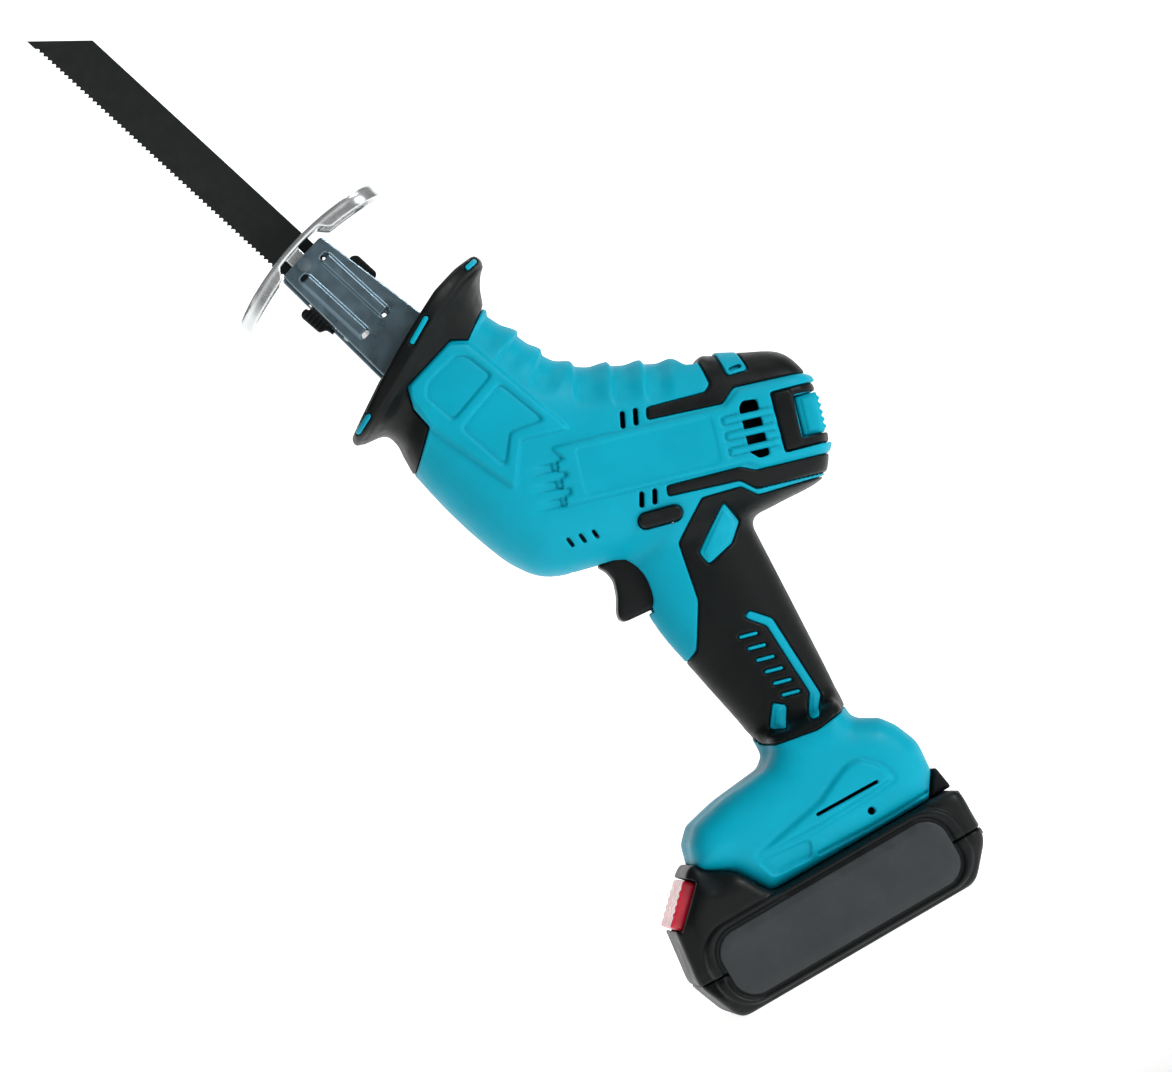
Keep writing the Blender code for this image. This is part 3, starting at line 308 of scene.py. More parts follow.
def level_field(levels, grid, power):
    """Field of a body lofted through level sections."""
    rows = smooth_rows(levels)[::-1]
    x, z = grid.side_x, grid.side_z
    front = np.interp(z, rows[:, 0], rows[:, 1])
    rear = np.interp(z, rows[:, 0], rows[:, 2])
    wide = np.interp(z, rows[:, 0], rows[:, 3]).astype(np.float32)
    tall = ((rear - front) / 2.0).astype(np.float32)
    v = ((x - (front + rear) / 2.0) / tall).astype(np.float32)
    field = section_field(grid.lift(v), grid.y / grid.lift(wide), grid.lift(tall), grid.lift(wide), power)
    low, high = rows[0, 0], rows[-1, 0]
    return both(field, grid.lift(np.maximum(z - high, low - z)))


CORNERS = np.array([(i, j, k) for i in (0, 1) for j in (0, 1) for k in (0, 1)])
EDGES = [(a, b) for a in range(8) for b in range(a + 1, 8)
         if np.abs(CORNERS[a] - CORNERS[b]).sum() == 1]


def surface(field, grid):
    """Vertices and quads of the surface where a field is zero; the field is negative inside."""
    inside = field < 0.0
    total = np.zeros(tuple(n - 1 for n in field.shape), np.uint8)
    nx, ny, nz = total.shape
    for i, j, k in CORNERS:
        total += inside[i:i + nx, j:j + ny, k:k + nz]
    active = (total > 0) & (total < 8)
    cells = np.argwhere(active)
    index = np.full(active.shape, -1, np.int32)
    index[active] = np.arange(len(cells), dtype=np.int32)
    values = [field[cells[:, 0] + i, cells[:, 1] + j, cells[:, 2] + k] for i, j, k in CORNERS]
    sums = np.zeros((len(cells), 3))
    hits = np.zeros(len(cells))
    for a, b in EDGES:
        va, vb = values[a], values[b]
        crossed = (va < 0.0) != (vb < 0.0)
        share = np.where(crossed, va / np.where(crossed, va - vb, 1.0), 0.0)
        point = CORNERS[a] + (CORNERS[b] - CORNERS[a]) * share[:, None]
        sums += np.where(crossed[:, None], point, 0.0)
        hits += crossed
    local = sums / hits[:, None]
    v = np.array(values).reshape(2, 2, 2, -1)
    for repeat in range(2):
        a, b, c = np.clip(local, 0.0, 1.0).T
        weights = [np.array((1.0 - q, q)) for q in (a, b, c)]
        there = np.einsum("ijkn,in,jn,kn->n", v, *weights)
        slope = np.stack([
            np.einsum("jkn,jn,kn->n", v[1] - v[0], weights[1], weights[2]),
            np.einsum("ikn,in,kn->n", v[:, 1] - v[:, 0], weights[0], weights[2]),
            np.einsum("ijn,in,jn->n", v[:, :, 1] - v[:, :, 0], weights[0], weights[1])], axis=1)
        move = slope * (there / np.maximum((slope ** 2).sum(1), 1e-9))[:, None]
        local = np.clip(local - 0.8 * np.clip(move, -0.35, 0.35), 0.0, 1.0)
    points = grid.low + (cells + local) * grid.step
    quads = []
    for axis in range(3):
        p, q = [(1, 2), (2, 0), (0, 1)][axis]
        near = [slice(1, -1)] * 3
        far = [slice(1, -1)] * 3
        near[axis], far[axis] = slice(0, -1), slice(1, None)
        first, second = inside[tuple(near)], inside[tuple(far)]
        crossing = np.argwhere(first != second)
        base = crossing.copy()
        for other in (p, q):
            base[:, other] += 1
        corners = []
        for dp, dq in ((-1, -1), (0, -1), (0, 0), (-1, 0)):
            cell = base.copy()
            cell[:, p] += dp
            cell[:, q] += dq
            corners.append(index[cell[:, 0], cell[:, 1], cell[:, 2]])
        quad = np.stack(corners, axis=1)
        flip = second[tuple(crossing.T)]
        quad[flip] = quad[flip][:, ::-1]
        quads.append(quad)
    return points, np.concatenate(quads)


# ---------------------------------------------------------------- pieces
def mesh_from(name, points, faces):
    """Mesh of quads or triangles, from points in millimetres."""
    mesh = bpy.data.meshes.new(name)
    sides = faces.shape[1]
    mesh.vertices.add(len(points))
    mesh.vertices.foreach_set("co", (np.asarray(points, np.float32) * MM).ravel())
    mesh.loops.add(faces.size)
    mesh.loops.foreach_set("vertex_index", np.asarray(faces, np.int32).ravel())
    mesh.polygons.add(len(faces))
    mesh.polygons.foreach_set("loop_start", np.arange(0, faces.size, sides, dtype=np.int32))
    mesh.update(calc_edges=True)
    mesh.validate()
    return mesh


def thinned(mesh, limit):
    """The mesh with its flattest areas simplified down to about limit quads."""
    count = sum(len(p.vertices) - 2 for p in mesh.polygons) / 2.0
    if count <= limit:
        return mesh
    holder = bpy.data.objects.new("holder", mesh)
    bpy.context.scene.collection.objects.link(holder)
    modifier = holder.modifiers.new("thin", "DECIMATE")
    modifier.ratio = limit / count
    modifier.use_collapse_triangulate = False
    graph = bpy.context.evaluated_depsgraph_get()
    result = bpy.data.meshes.new_from_object(holder.evaluated_get(graph))
    bpy.data.objects.remove(holder)
    bpy.data.meshes.remove(mesh)
    return result


def settle(name, mesh, body, finish, stands_for=(), crease=None):
    """Makes a mesh a piece of the model, riding on a body and standing for CAD nodes."""
    mesh.name = name
    mesh.polygons.foreach_set("use_smooth", [True] * len(mesh.polygons))
    if crease is not None:
        mesh.set_sharp_from_angle(angle=math.radians(crease))
    piece = bpy.data.objects.new(name, mesh)
    bpy.context.scene.collection.objects.link(piece)
    mesh.materials.clear()
    mesh.materials.append(MATERIALS[finish])
    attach(piece, body)
    if stands_for:
        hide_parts(*stands_for)
    return piece


def moulded(name, field, grid, body, finish, stands_for=(), mirror=False, place=None):
    """A piece from a sampled field, optionally mirrored to the other side or moved to its axes."""
    points, quads = surface(field, grid)
    if place is not None:
        points = place(points)
    if mirror:
        points = points * np.array((1.0, -1.0, 1.0))
        quads = quads[:, ::-1]
    mesh = thinned(mesh_from(name, points, quads), MOST_FACES)
    return settle(name, mesh, body, finish, stands_for)


def from_nose(points):
    """Points (t, y, s) on the moving parts' nose axes, in the row frame."""
    t, y, s = points.T
    sine, cosine = math.sin(NOSE_TILT), math.cos(NOSE_TILT)
    return np.stack([AXIS_SHIFT[0] - sine * s + cosine * t, y,
                     AXIS_SHIFT[1] + cosine * s + sine * t], axis=1)


# ---------------------------------------------------------------- materials
def linear(red, green, blue):
    """Scene-linear colour from display values of 0 to 255."""
    def channel(value):
        share = value / 255.0
        return share / 12.92 if share <= 0.04045 else ((share + 0.055) / 1.055) ** 2.4
    return (channel(red), channel(green), channel(blue), 1.0)


def shade(colour, factor):
    """The colour, darker or lighter."""
    return tuple(min(1.0, c * factor) for c in colour[:3]) + (1.0,)


MATERIALS = {}
# Pointiness bands: below the first, the base colour gets painted shade in hollows and creases; above the
# second, edges show wear
HOLLOW_SHADE_POINTINESS, EDGE_POINTINESS = (0.42, 0.478), (0.515, 0.56)


def spread(tree, value, low, high, to_low, to_high):
    """Node that maps a value from low and high to two others."""
    node = tree.nodes.new("ShaderNodeMapRange")
    for socket, number in (("From Min", low), ("From Max", high), ("To Min", to_low), ("To Max", to_high)):
        node.inputs[socket].default_value = number
    tree.links.new(value, node.inputs["Value"])
    return node.outputs["Result"]


def finish_material(name, colour, rough, metallic=0.0, specular=0.5, coat=0.0, mottle=0.12,
                    grain=0.10, grain_size=0.35, smudge=0.10, wear=0.25, worn=None, brushed=None):
    """Adds a procedural surface: colour variation, painted shade darkening the hollows and creases, moulded
    or brushed grain, smudges and worn edges.

    grain is the depth of the fine relief in millimetres and grain_size its scale; brushed is the
    direction that a metal's fine lines run along.
    """
    material = bpy.data.materials.new(name)
    material.use_nodes = True
    tree = material.node_tree
    nodes, links = tree.nodes, tree.links
    shader = nodes["Principled BSDF"]
    shader.inputs["Metallic"].default_value = metallic
    shader.inputs["Specular IOR Level"].default_value = specular
    if coat > 0.0:
        shader.inputs["Coat Weight"].default_value = coat
        shader.inputs["Coat Roughness"].default_value = 0.25
    place = nodes.new("ShaderNodeTexCoord")
    source = place.outputs["Object"]
    if brushed is not None:
        stretch = nodes.new("ShaderNodeMapping")
        stretch.inputs["Scale"].default_value = brushed
        links.new(source, stretch.inputs["Vector"])
        fine_source = stretch.outputs["Vector"]
    else:
        fine_source = source

    def noise(vector, size, detail, roughness=0.5):
        texture = nodes.new("ShaderNodeTexNoise")
        texture.inputs["Scale"].default_value = 1.0 / (size * MM)
        texture.inputs["Detail"].default_value = detail
        texture.inputs["Roughness"].default_value = roughness
        links.new(vector, texture.inputs["Vector"])
        return texture.outputs["Fac"]

    def blend(factor, first, second):
        node = nodes.new("ShaderNodeMix")
        node.data_type = "RGBA"
        links.new(factor, node.inputs["Factor"])
        for socket, value in ((node.inputs["A"], first), (node.inputs["B"], second)):
            if isinstance(value, tuple):
                socket.default_value = value
            else:
                links.new(value, socket)
        return node.outputs["Result"]

    cloudy = noise(source, 18.0, 3.0)
    tone = blend(spread(tree, cloudy, 0.35, 0.65, 0.0, 1.0), shade(colour, 1.0 - mottle),
                 shade(colour, 1.0 + 0.6 * mottle))
    speckle = noise(fine_source, grain_size * 3.0, 2.0)
    tone = blend(spread(tree, speckle, 0.3, 0.7, 0.0, 0.35), tone, shade(colour, 1.0 - 1.2 * mottle))
    geometry = nodes.new("ShaderNodeNewGeometry")
    pointed = geometry.outputs["Pointiness"]
    # painted shade: hollows and creases are darkened in the base colour, standing in for the shade that falls
    # there
    tone = blend(spread(tree, pointed, *HOLLOW_SHADE_POINTINESS, 0.8, 0.0), tone, shade(colour, 0.25))
    if wear > 0.0:
        edge = spread(tree, pointed, *EDGE_POINTINESS, 0.0, wear)
        patchy = spread(tree, noise(source, 4.0, 4.0), 0.40, 0.62, 0.2, 1.0)
        product = nodes.new("ShaderNodeMath")
        product.operation = "MULTIPLY"
        product.use_clamp = True
        links.new(edge, product.inputs[0])
        links.new(patchy, product.inputs[1])
        tone = blend(product.outputs[0], tone, worn if worn is not None else shade(colour, 1.6))
    links.new(tone, shader.inputs["Base Color"])
    hazy = noise(source, 7.0, 5.0, 0.6)
    links.new(spread(tree, hazy, 0.30, 0.70, max(0.04, rough - smudge), min(1.0, rough + smudge)),
              shader.inputs["Roughness"])
    bump = nodes.new("ShaderNodeBump")
    bump.inputs["Strength"].default_value = 1.0
    bump.inputs["Distance"].default_value = grain * MM
    links.new(noise(fine_source, grain_size, 2.5), bump.inputs["Height"])
    links.new(bump.outputs["Normal"], shader.inputs["Normal"])
    MATERIALS[name] = material


CYAN = linear(0, 161, 187)
BLACK = linear(7, 12, 13)
finish_material("cyan_plastic", CYAN, 0.50, specular=0.12, grain=0.020, mottle=0.05, wear=0.15)
finish_material("black_rubber", BLACK, 0.46, specular=0.18, grain=0.04, grain_size=0.5,
                mottle=0.15, wear=0.10)
finish_material("black_plastic", BLACK, 0.48, specular=0.25, grain=0.035, grain_size=0.45,
                mottle=0.12, wear=0.15)
finish_material("grey_plastic", linear(52, 56, 58), 0.45, specular=0.3, grain=0.03, grain_size=0.4,
                mottle=0.14, smudge=0.14, wear=0.15)
finish_material("red_plastic", linear(214, 30, 58), 0.30, coat=0.3, grain=0.015, mottle=0.08)
finish_material("screw_steel", linear(62, 62, 66), 0.38, metallic=0.9, grain=0.02, mottle=0.15)
finish_material("blade_steel", linear(28, 32, 31), 0.62, specular=0.15, grain=0.008, mottle=0.04,
                smudge=0.04, wear=0.12, worn=linear(70, 74, 72), brushed=(1.0, 1.0, 0.12))
finish_material("bright_steel", linear(196, 198, 200), 0.22, metallic=1.0, grain=0.01, mottle=0.06,
                wear=0.1, brushed=(1.0, 0.1, 1.0))
finish_material("grey_steel", linear(116, 138, 150), 0.34, metallic=0.85, grain=0.006, mottle=0.12,
                smudge=0.10, wear=0.25, worn=linear(190, 196, 200), brushed=(1.0, 1.0, 0.15))
finish_material("chrome_steel", linear(222, 225, 226), 0.24, metallic=0.82, grain=0.003, mottle=0.05,
                smudge=0.06, wear=0.0)
finish_material("cast_aluminium", linear(150, 152, 154), 0.5, metallic=0.9, grain=0.08, grain_size=0.8,
                mottle=0.15)
finish_material("bronze", linear(170, 128, 74), 0.42, metallic=0.9, grain=0.03, mottle=0.18)
finish_material("copper", linear(186, 110, 72), 0.35, metallic=0.95, grain=0.03, mottle=0.18)
finish_material("board", linear(20, 84, 52), 0.45, grain=0.03, mottle=0.15)
finish_material("cell_wrap", linear(60, 132, 96), 0.35, coat=0.3, grain=0.012, mottle=0.1)
finish_material("dark_slot", linear(12, 16, 18), 0.7, specular=0.2, grain=0.03, mottle=0.2, wear=0.0)
for row in frame["record"]["subparts"]:
    node = frame["nodes"].get(row["node"])
    if node is not None:
        look = MATERIALS[row["material_slot"]]
        for holder in node.material_slots:
            holder.material = look
        if not node.material_slots:
            node.data.materials.append(look)


# ---------------------------------------------------------------- side-view outlines of the mouldings
COLLAR_LINE = on_nose((61.5, 33.6), (57.0, 19.0), (61.9, 14.6), (61.9, -9.5), (54.3, -13.9),
    (45.5, -14.8), (36.9, -30.9))
COLLAR_SIDE = COLLAR_LINE + on_nose((30.0, -50.0), (110.0, -60.0), (110.0, 60.0), (66.0, 50.0))
NOSE_PANEL = on_nose((61.4, 13.0), (56.0, 18.4), (18.8, 19.6), (6.6, 20.3), (17.0, 4.8), (6.2, -10.0),
    (45.3, -14.6), (58.4, -11.6), (61.4, -8.5))
NOSE_RECESSES = (
    on_nose((56.4, 11.4), (53.3, 14.4), (41.6, 15.4), (40.6, -7.2), (54.2, -7.4), (57.0, -3.0)),
    on_nose((37.2, 15.2), (15.4, 16.4), (21.9, 4.1), (14.2, -6.6), (36.2, -7.2)),
)
MOTOR_PANEL = on_motor((4.6, 11.2), (8.8, 5.9), (3.6, 5.3), (3.6, 2.6), (8.4, 1.2), (8.4, -0.8),
    (3.8, -1.4), (3.8, -4.2), (8.5, -4.9), (8.3, -7.6), (3.8, -8.2), (4.4, -11.6), (76.0, -11.6),
    (80.6, -14.2), (112.0, -14.2), (112.0, 16.2), (79.0, 16.2), (72.5, 11.1))
MOTOR_FACE = on_motor((13.5, 8.8), (66.5, 8.8), (66.5, -9.4), (13.5, -9.4))
COMB_GAPS = [(motor(-8.0, n), motor(6.0, n - 0.4)) for n in (4.2, -2.6, -9.4)]
WINDOW_BARS = [on_motor((70.2, top), (90.0, top - 0.2), (90.0, top - 2.8), (70.2, top - 2.6))
               for top in (7.0, 1.0, -5.0)]
WINDOW = on_motor((77.6, 9.4), (79.4, 11.6), (85.0, 11.2), (85.0, -10.6), (80.9, -11.0), (77.6, -7.8))
DARK_SLOTS = [(motor(s, low), motor(s + 0.9, high)) for s in (33.4, 38.5)
              for low, high in ((12.8, 17.6), (-17.8, -13.6))]
BELLY_SLOTS = (((-18.0, 188.7), (-17.6, 186.1)), ((-13.2, 187.7), (-12.8, 185.1)),
               ((-8.2, 186.5), (-7.9, 184.1)))
DARK_SLOT_RADIUS, BELLY_SLOT_RADIUS, GRIP_RIB_RADIUS = 0.95, 0.75, 0.75
REAR_PARTS = (
    on_motor((43.6, 17.7), (42.8, 13.0), (72.2, 12.3), (77.5, 17.3), (107.0, 16.9), (112.0, 16.9),
             (112.0, 40.0), (66.0, 40.0), (67.6, 29.6), (69.2, 20.6), (66.5, 18.2)),
    on_motor((90.4, 12.4), (112.0, 12.9), (112.0, 9.2), (98.9, 9.4), (98.4, -7.2), (112.0, -6.6),
             (112.0, -10.7), (90.8, -11.2)),
    on_motor((44.1, -12.8), (43.7, -16.9), (71.8, -17.4), (77.4, -21.9), (114.0, -21.5), (114.0, -14.8),
             (78.4, -14.9), (72.8, -12.4)),
)
UPPER_GRIP = ((18.0, 166.6), (33.6, 177.1), (48.6, 173.4), (53.0, 167.4), (82.5, 160.4), (90.0, 150.0),
    (60.0, 150.0))
GRIP_SIDE = UPPER_GRIP + ((60.0, 84.0), (41.2, 81.2), (27.0, 79.6), (11.0, 82.4), (7.6, 84.6),
    (6.2, 90.2), (-8.0, 96.0), (-8.0, 122.0), (4.0, 128.0), (13.6, 144.0))
GRIP_WINDOWS = (
    ((40.1, 171.6), (42.6, 162.2), (35.6, 156.4), (24.0, 153.8), (22.8, 159.4)),
    ((28.5, 131.2), (34.8, 124.2), (36.4, 90.2), (30.1, 83.2), (26.6, 84.1), (32.8, 92.8), (31.4, 122.8),
     (25.4, 129.9)),
    ((18.6, 96.6), (22.9, 93.0), (17.9, 85.2), (12.7, 88.2)),
)
GRIP_RIBS = [((20.6 + 0.6 * k, 124.0 - 5.4 * k), (26.4 + 0.6 * k, 122.4 - 5.4 * k)) for k in range(6)]
HUMP_VALLEY = ((52.0, 236.0), (51.9, 229.4), (53.9, 224.0), (57.4, 222.2), (60.4, 223.4), (63.4, 224.6),
    (64.4, 236.0))
HUMP_DIP = ((64.8, 223.2), (67.4, 221.0))
TAG = on_motor((75.0, 40.0), (75.0, 30.6), (76.6, 22.2), (84.8, 22.7), (83.2, 29.9), (83.0, 40.0))
TAG_SLOT = ((67.6, 213.7), (71.0, 213.1))
REAR_BLOCK = on_motor((91.0, 11.8), (98.3, 11.9), (98.3, -10.4), (91.4, -10.7))
TOP_EDGE = ((0.3, 279.8), (6.0, 266.8), (9.8, 256.3), (17.4, 246.7), (29.6, 239.9), (40.8, 234.2),
    (51.4, 229.0))
SCALLOP_REACH, SCALLOP_DEPTH = 19.0, 1.7
LEAF = ((-16.0, 50.0), (0.5, 53.2), (14.0, 55.8), (24.0, 60.6), (30.0, 62.7), (34.8, 62.2), (40.4, 56.2),
    (42.3, 49.9), (31.2, 49.2), (9.1, 48.5), (-8.0, 49.2))
FOOT_RECESS = ((-17.6, 48.0), (-14.8, 40.4), (1.2, 39.2), (3.9, 45.9))
FOOT_LINE = ((4.5, 39.2), (28.0, 38.0), (51.0, 38.4))
FOOT_SLOT = ((10.7, 52.3), (36.1, 51.8))
FOOT_DOT = (29.2, 43.2)
FOOT_SLOT_RADIUS, FOOT_DOT_RADIUS = 0.65, 1.5
LOCK_ENDS = ((11.0, 180.0), (21.9, 177.1))
LOCK_RADIUS = 2.9
TRIGGER_SIDE = ((-30.0, 171.4), (-2.2, 171.9), (0.6, 166.6), (1.4, 161.9), (0.9, 157.0), (-0.3, 152.4),
    (-3.4, 149.2), (-30.0, 149.0))
CAP_ROOM = on_motor((98.9, 9.0), (140.0, 9.0), (140.0, -7.0), (98.9, -7.0))
# Room for the trigger, and for the neck and the head of the pack's rail, each with its half width
OPENINGS = (
    (((-30.0, 148.6), (12.8, 148.6), (12.8, 171.0), (4.0, 177.0), (-30.0, 177.0)), 7.5),
    (((-60.0, 20.0), (46.8, 20.0), (46.8, 38.9), (-60.0, 38.9)), 19.0),
    (((-60.0, 37.9), (46.8, 37.9), (46.8, 42.8), (-60.0, 42.8)), 23.0),
)
FOOT_CEILING = 46.7                        # underside of the hollow, above the rail
POST_RADIUS, HEAD_RADIUS, SHANK_RADIUS = 4.6, 3.3, 1.8     # screw posts and the bores in them
HEAD_LEVEL, SHANK_LEVEL = 9.7, 11.0        # depths of those bores from the middle plane


def scallops(grid):
    """Depth of the shallow finger scoops along the top of the nose."""
    x, z = grid.side_x, grid.side_z
    depth = np.zeros(x.shape, np.float32)
    for a, b in zip(TOP_EDGE[:-1], TOP_EDGE[1:]):
        a, b = np.array(a), np.array(b)
        length = np.linalg.norm(b - a)
        along = (b - a) / length
        u = ((x - a[0]) * along[0] + (z - a[1]) * along[1]) / length
        w = (x - a[0]) * along[1] - (z - a[1]) * along[0]
        across = ease(u / 0.14) * ease((1.0 - u) / 0.55) * ((u > 0.0) & (u < 1.0))
        depth = np.maximum(depth, across * ease((SCALLOP_REACH - w) / 8.0) * (w > -8.0))
    return SCALLOP_DEPTH * depth


def envelope(grid):
    """Outer shape of the housing with its rubber, before any detail."""
    body, start, end = station_field(BODY_STATIONS, grid, BODY_POWER)
    body = both(body, grid.lift(end), 7.0)
    body = both(body, grid.lift(-BODY_REACH - start))
    handle = level_field(HANDLE_LEVELS, grid, HANDLE_POWER)
    foot = both(grid.lift(grid.outline(FOOT_SIDE, 1.2)), grid.beside(FOOT_HALF_WIDTH), FOOT_ROUND)
    whole = either(either(body, handle, 6.0), foot, 6.0)
    return both(whole, grid.lift(-grid.outline(HUMP_VALLEY, 0.6)), 1.2)


def side_features(grid):
    """Height of everything raised or sunk in the housing's side, in the side view."""
    x, z = grid.side_x, grid.side_z
    height = raised(grid.outline(NOSE_PANEL, 0.5), 1.5, 1.3)
    for recess in NOSE_RECESSES:
        distance = grid.outline(recess, 0.8)
        height -= raised(distance, 0.95, 0.9)
        height += groove(distance, 0.5, 1.2)
    panel = grid.outline(MOTOR_PANEL, 0.4)
    height += raised(panel, 1.3, 0.9)
    height += groove(panel + 0.2, 0.35, 1.2)
    height -= raised(grid.outline(MOTOR_FACE, 0.8), 0.4, 0.9)
    for left, right in COMB_GAPS:
        run = np.array(right) - np.array(left)
        share = ((x - left[0]) * run[0] + (z - left[1]) * run[1]) / (run @ run)
        ramp = ease(share) * (share < 1.0)
        gap = grid.capsule((left, right))
        height -= 1.5 * ramp * ease((2.1 - gap) / 0.8)
    for bar in WINDOW_BARS:
        distance = grid.outline(bar, 0.3)
        height += groove(distance - 0.2, 0.8, 1.3)
        height += raised(distance, 0.6, 0.8)
    height -= scallops(grid)
    leaf = grid.outline(LEAF, 1.2)
    height += raised(leaf, 1.5, 3.0)
    height += groove(leaf - 0.6, 0.6, 2.0)
    recess = grid.outline(FOOT_RECESS, 0.9)
    height -= raised(recess, 0.85, 1.1)
    height += groove(grid.capsule(FOOT_LINE), 0.8, 1.3)
    for window in GRIP_WINDOWS:
        distance = grid.outline(window, 0.5)
        height += raised(distance + 1.5, 0.7, 1.0)
    return height


def build_housing():
    """The two housing halves with their rubber skins, from one sampled block."""
    grid = Grid((-62.0, -38.0, 33.0), (97.0, 1.0, 292.0), HOUSING_STEP)
    x, z = grid.side_x, grid.side_z
    outer = envelope(grid)
    height = side_features(grid)
    rear = np.minimum.reduce([grid.outline(part, 0.5) for part in REAR_PARTS])
    grip = both(grid.outline(GRIP_SIDE, 0.6), 0.9 - rear)
    for window in GRIP_WINDOWS:
        grip = both(grip, -grid.outline(window, 0.5))
    for ends in GRIP_RIBS:
        grip = both(grip, -grid.capsule(ends, GRIP_RIB_RADIUS))
    tag = grid.outline(TAG, 0.4)
    # hollow with its screw posts
    hollow = both(outer + WALL, grid.lift(FOOT_CEILING - z), 1.0)
    for spot in SCREW_SPOTS:
        hollow = both(hollow, grid.lift(POST_RADIUS - np.sqrt((x - spot[0]) ** 2 + (z - spot[1]) ** 2)))
    # openings through the side
    slots = [grid.capsule(ends, DARK_SLOT_RADIUS) for ends in DARK_SLOTS]
    slots += [grid.capsule(ends, BELLY_SLOT_RADIUS) for ends in BELLY_SLOTS]
    window = grid.outline(WINDOW, 0.5)
    for bar in WINDOW_BARS:
        window = both(window, -grid.outline(bar))
    slots += [grid.capsule(FOOT_SLOT, FOOT_SLOT_RADIUS), grid.capsule(LOCK_ENDS, LOCK_RADIUS + 0.3), window,
              np.hypot(x - FOOT_DOT[0], z - FOOT_DOT[1]) - FOOT_DOT_RADIUS, grid.outline(CAP_ROOM),
              grid.outline(TRIGGER_SIDE, 0.8)]
    through = np.minimum.reduce(slots)
    shell = outer - grid.lift(height)
    for region in (rear, grip):
        shell = both(shell, np.minimum(grid.lift(SEAM - region), outer + SKIN), 0.5)
    shell = both(shell, grid.lift(SEAM - grid.outline(COLLAR_SIDE)), 0.5)
    shell = both(shell, -hollow)
    shell = both(shell, grid.lift(-through), 0.5)
    for outline, half_width in OPENINGS:
        shell = both(shell, -both(grid.lift(grid.outline(outline)), grid.beside(half_width)), 0.6)
    shell = both(shell, grid.y, 0.5)
    screws = np.minimum.reduce([np.hypot(x - a, z - b) for a, b in SCREW_SPOTS])
    head_room = both(grid.lift(screws - HEAD_RADIUS), HEAD_LEVEL + grid.y)
    shank_room = both(grid.lift(screws - SHANK_RADIUS), -SHANK_LEVEL - grid.y)
    shell = both(shell, -shank_room)
    moulded("housing_shell_left", shell, grid, "tool", "cyan_plastic", ("housing_left",))
    moulded("housing_shell_right", both(shell, -head_room, 0.4), grid, "tool", "cyan_plastic",
            ("housing_right",), mirror=True)
    # rubber skins in their beds, and the tag on the hump
    block = raised(grid.outline(REAR_BLOCK, 0.4), 0.8, 0.9)
    dip = ease(1.0 - grid.capsule(HUMP_DIP) / 4.5) * 0.9
    plain = np.zeros(x.shape, np.float32)
    for name, region, relief in (("rear", both(rear, 0.1 - tag), block - dip), ("grip", grip, plain)):
        proud = outer - grid.lift(relief) - 0.15
        field = both(both(both(proud, grid.lift(region + SEAM), 1.0), -(outer + SKIN - 0.1)), grid.y, 0.5)
        if name == "rear":
            field = both(field, grid.lift(-through))
        for side, mirror in (("left", False), ("right", True)):
            cut = both(field, -head_room) if mirror else field
            moulded(f"{name}_skin_{side}", cut, grid, "tool", "black_rubber", (f"{name}_rubber_{side}",),
                    mirror=mirror)
    label = both(both(outer - 0.35, grid.lift(np.maximum(tag, rear) + SEAM), 0.6), -(outer + SKIN - 0.1))
    label = both(both(label, grid.y, 0.5), both(outer, grid.lift(-grid.capsule(TAG_SLOT, 1.2))) - 0.4)
    for side, mirror in (("left", False), ("right", True)):
        moulded("hump_tag_" + side, label, grid, "tool", "cyan_plastic", mirror=mirror)


build_housing()


# ---------------------------------------------------------------- nose guard and rear cap
def build_collar():
    """Flared rubber guard with its dished front, its opening and the marks set in its rim."""
    grid = Grid((-71.0, -36.5, 234.0), (10.0, 36.5, 303.0), 0.55 * FINE)
    x, z = grid.side_x, grid.side_z
    v, tall = station_map(COLLAR_STATIONS, grid)[:2]
    front, back = [grid.outline(line + ((-76.0, 180.0), (60.0, 180.0), (60.0, 300.0)), 1.2)
                   for line in (RIM_FRONT, RIM_BACK)]
    wide = np.interp(-back, FLARE_DEPTH, FLARE_WIDTH).astype(np.float32)
    wide = softened(wide, grid, 1.2)
    outer = section_field(grid.lift(v), grid.y / grid.lift(wide), grid.lift(tall), grid.lift(wide),
                          COLLAR_POWER)
    outer = outer - grid.lift(groove(back + 0.4, 0.5, 1.4))
    sine, cosine = math.sin(NOSE_TILT), math.cos(NOSE_TILT)
    t = (x - AXIS_SHIFT[0]) * cosine + (z - AXIS_SHIFT[1]) * sine
    tunnel = both(grid.lift(np.abs(t - 3.2) - 18.6), grid.beside(18.4), 4.0)
    dish = both(outer + RIM_WALL, grid.lift(-0.6 - back), 2.5)
    solid = both(outer, grid.lift(front), 2.2)
    solid = both(solid, -dish, 1.4)
    solid = both(solid, -tunnel, 1.2)
    solid = both(solid, grid.lift(grid.outline(COLLAR_SIDE) + SEAM), 0.8)
    marks = np.minimum.reduce([grid.capsule(ends, 1.15) for ends in RIM_MARKS])
    inlay = both(both(grid.lift(marks + SEAM), outer - 0.2, 0.5), -(outer + 1.3))
    solid = both(solid, np.minimum(grid.lift(SEAM - marks), outer + 1.5))
    solid = both(solid, grid.lift(np.maximum(z - 301.6, -70.2 - x)))
    moulded("nose_guard", solid, grid, "tool", "black_rubber", ("front_collar",))
    moulded("rim_marks", inlay, grid, "tool", "cyan_plastic")


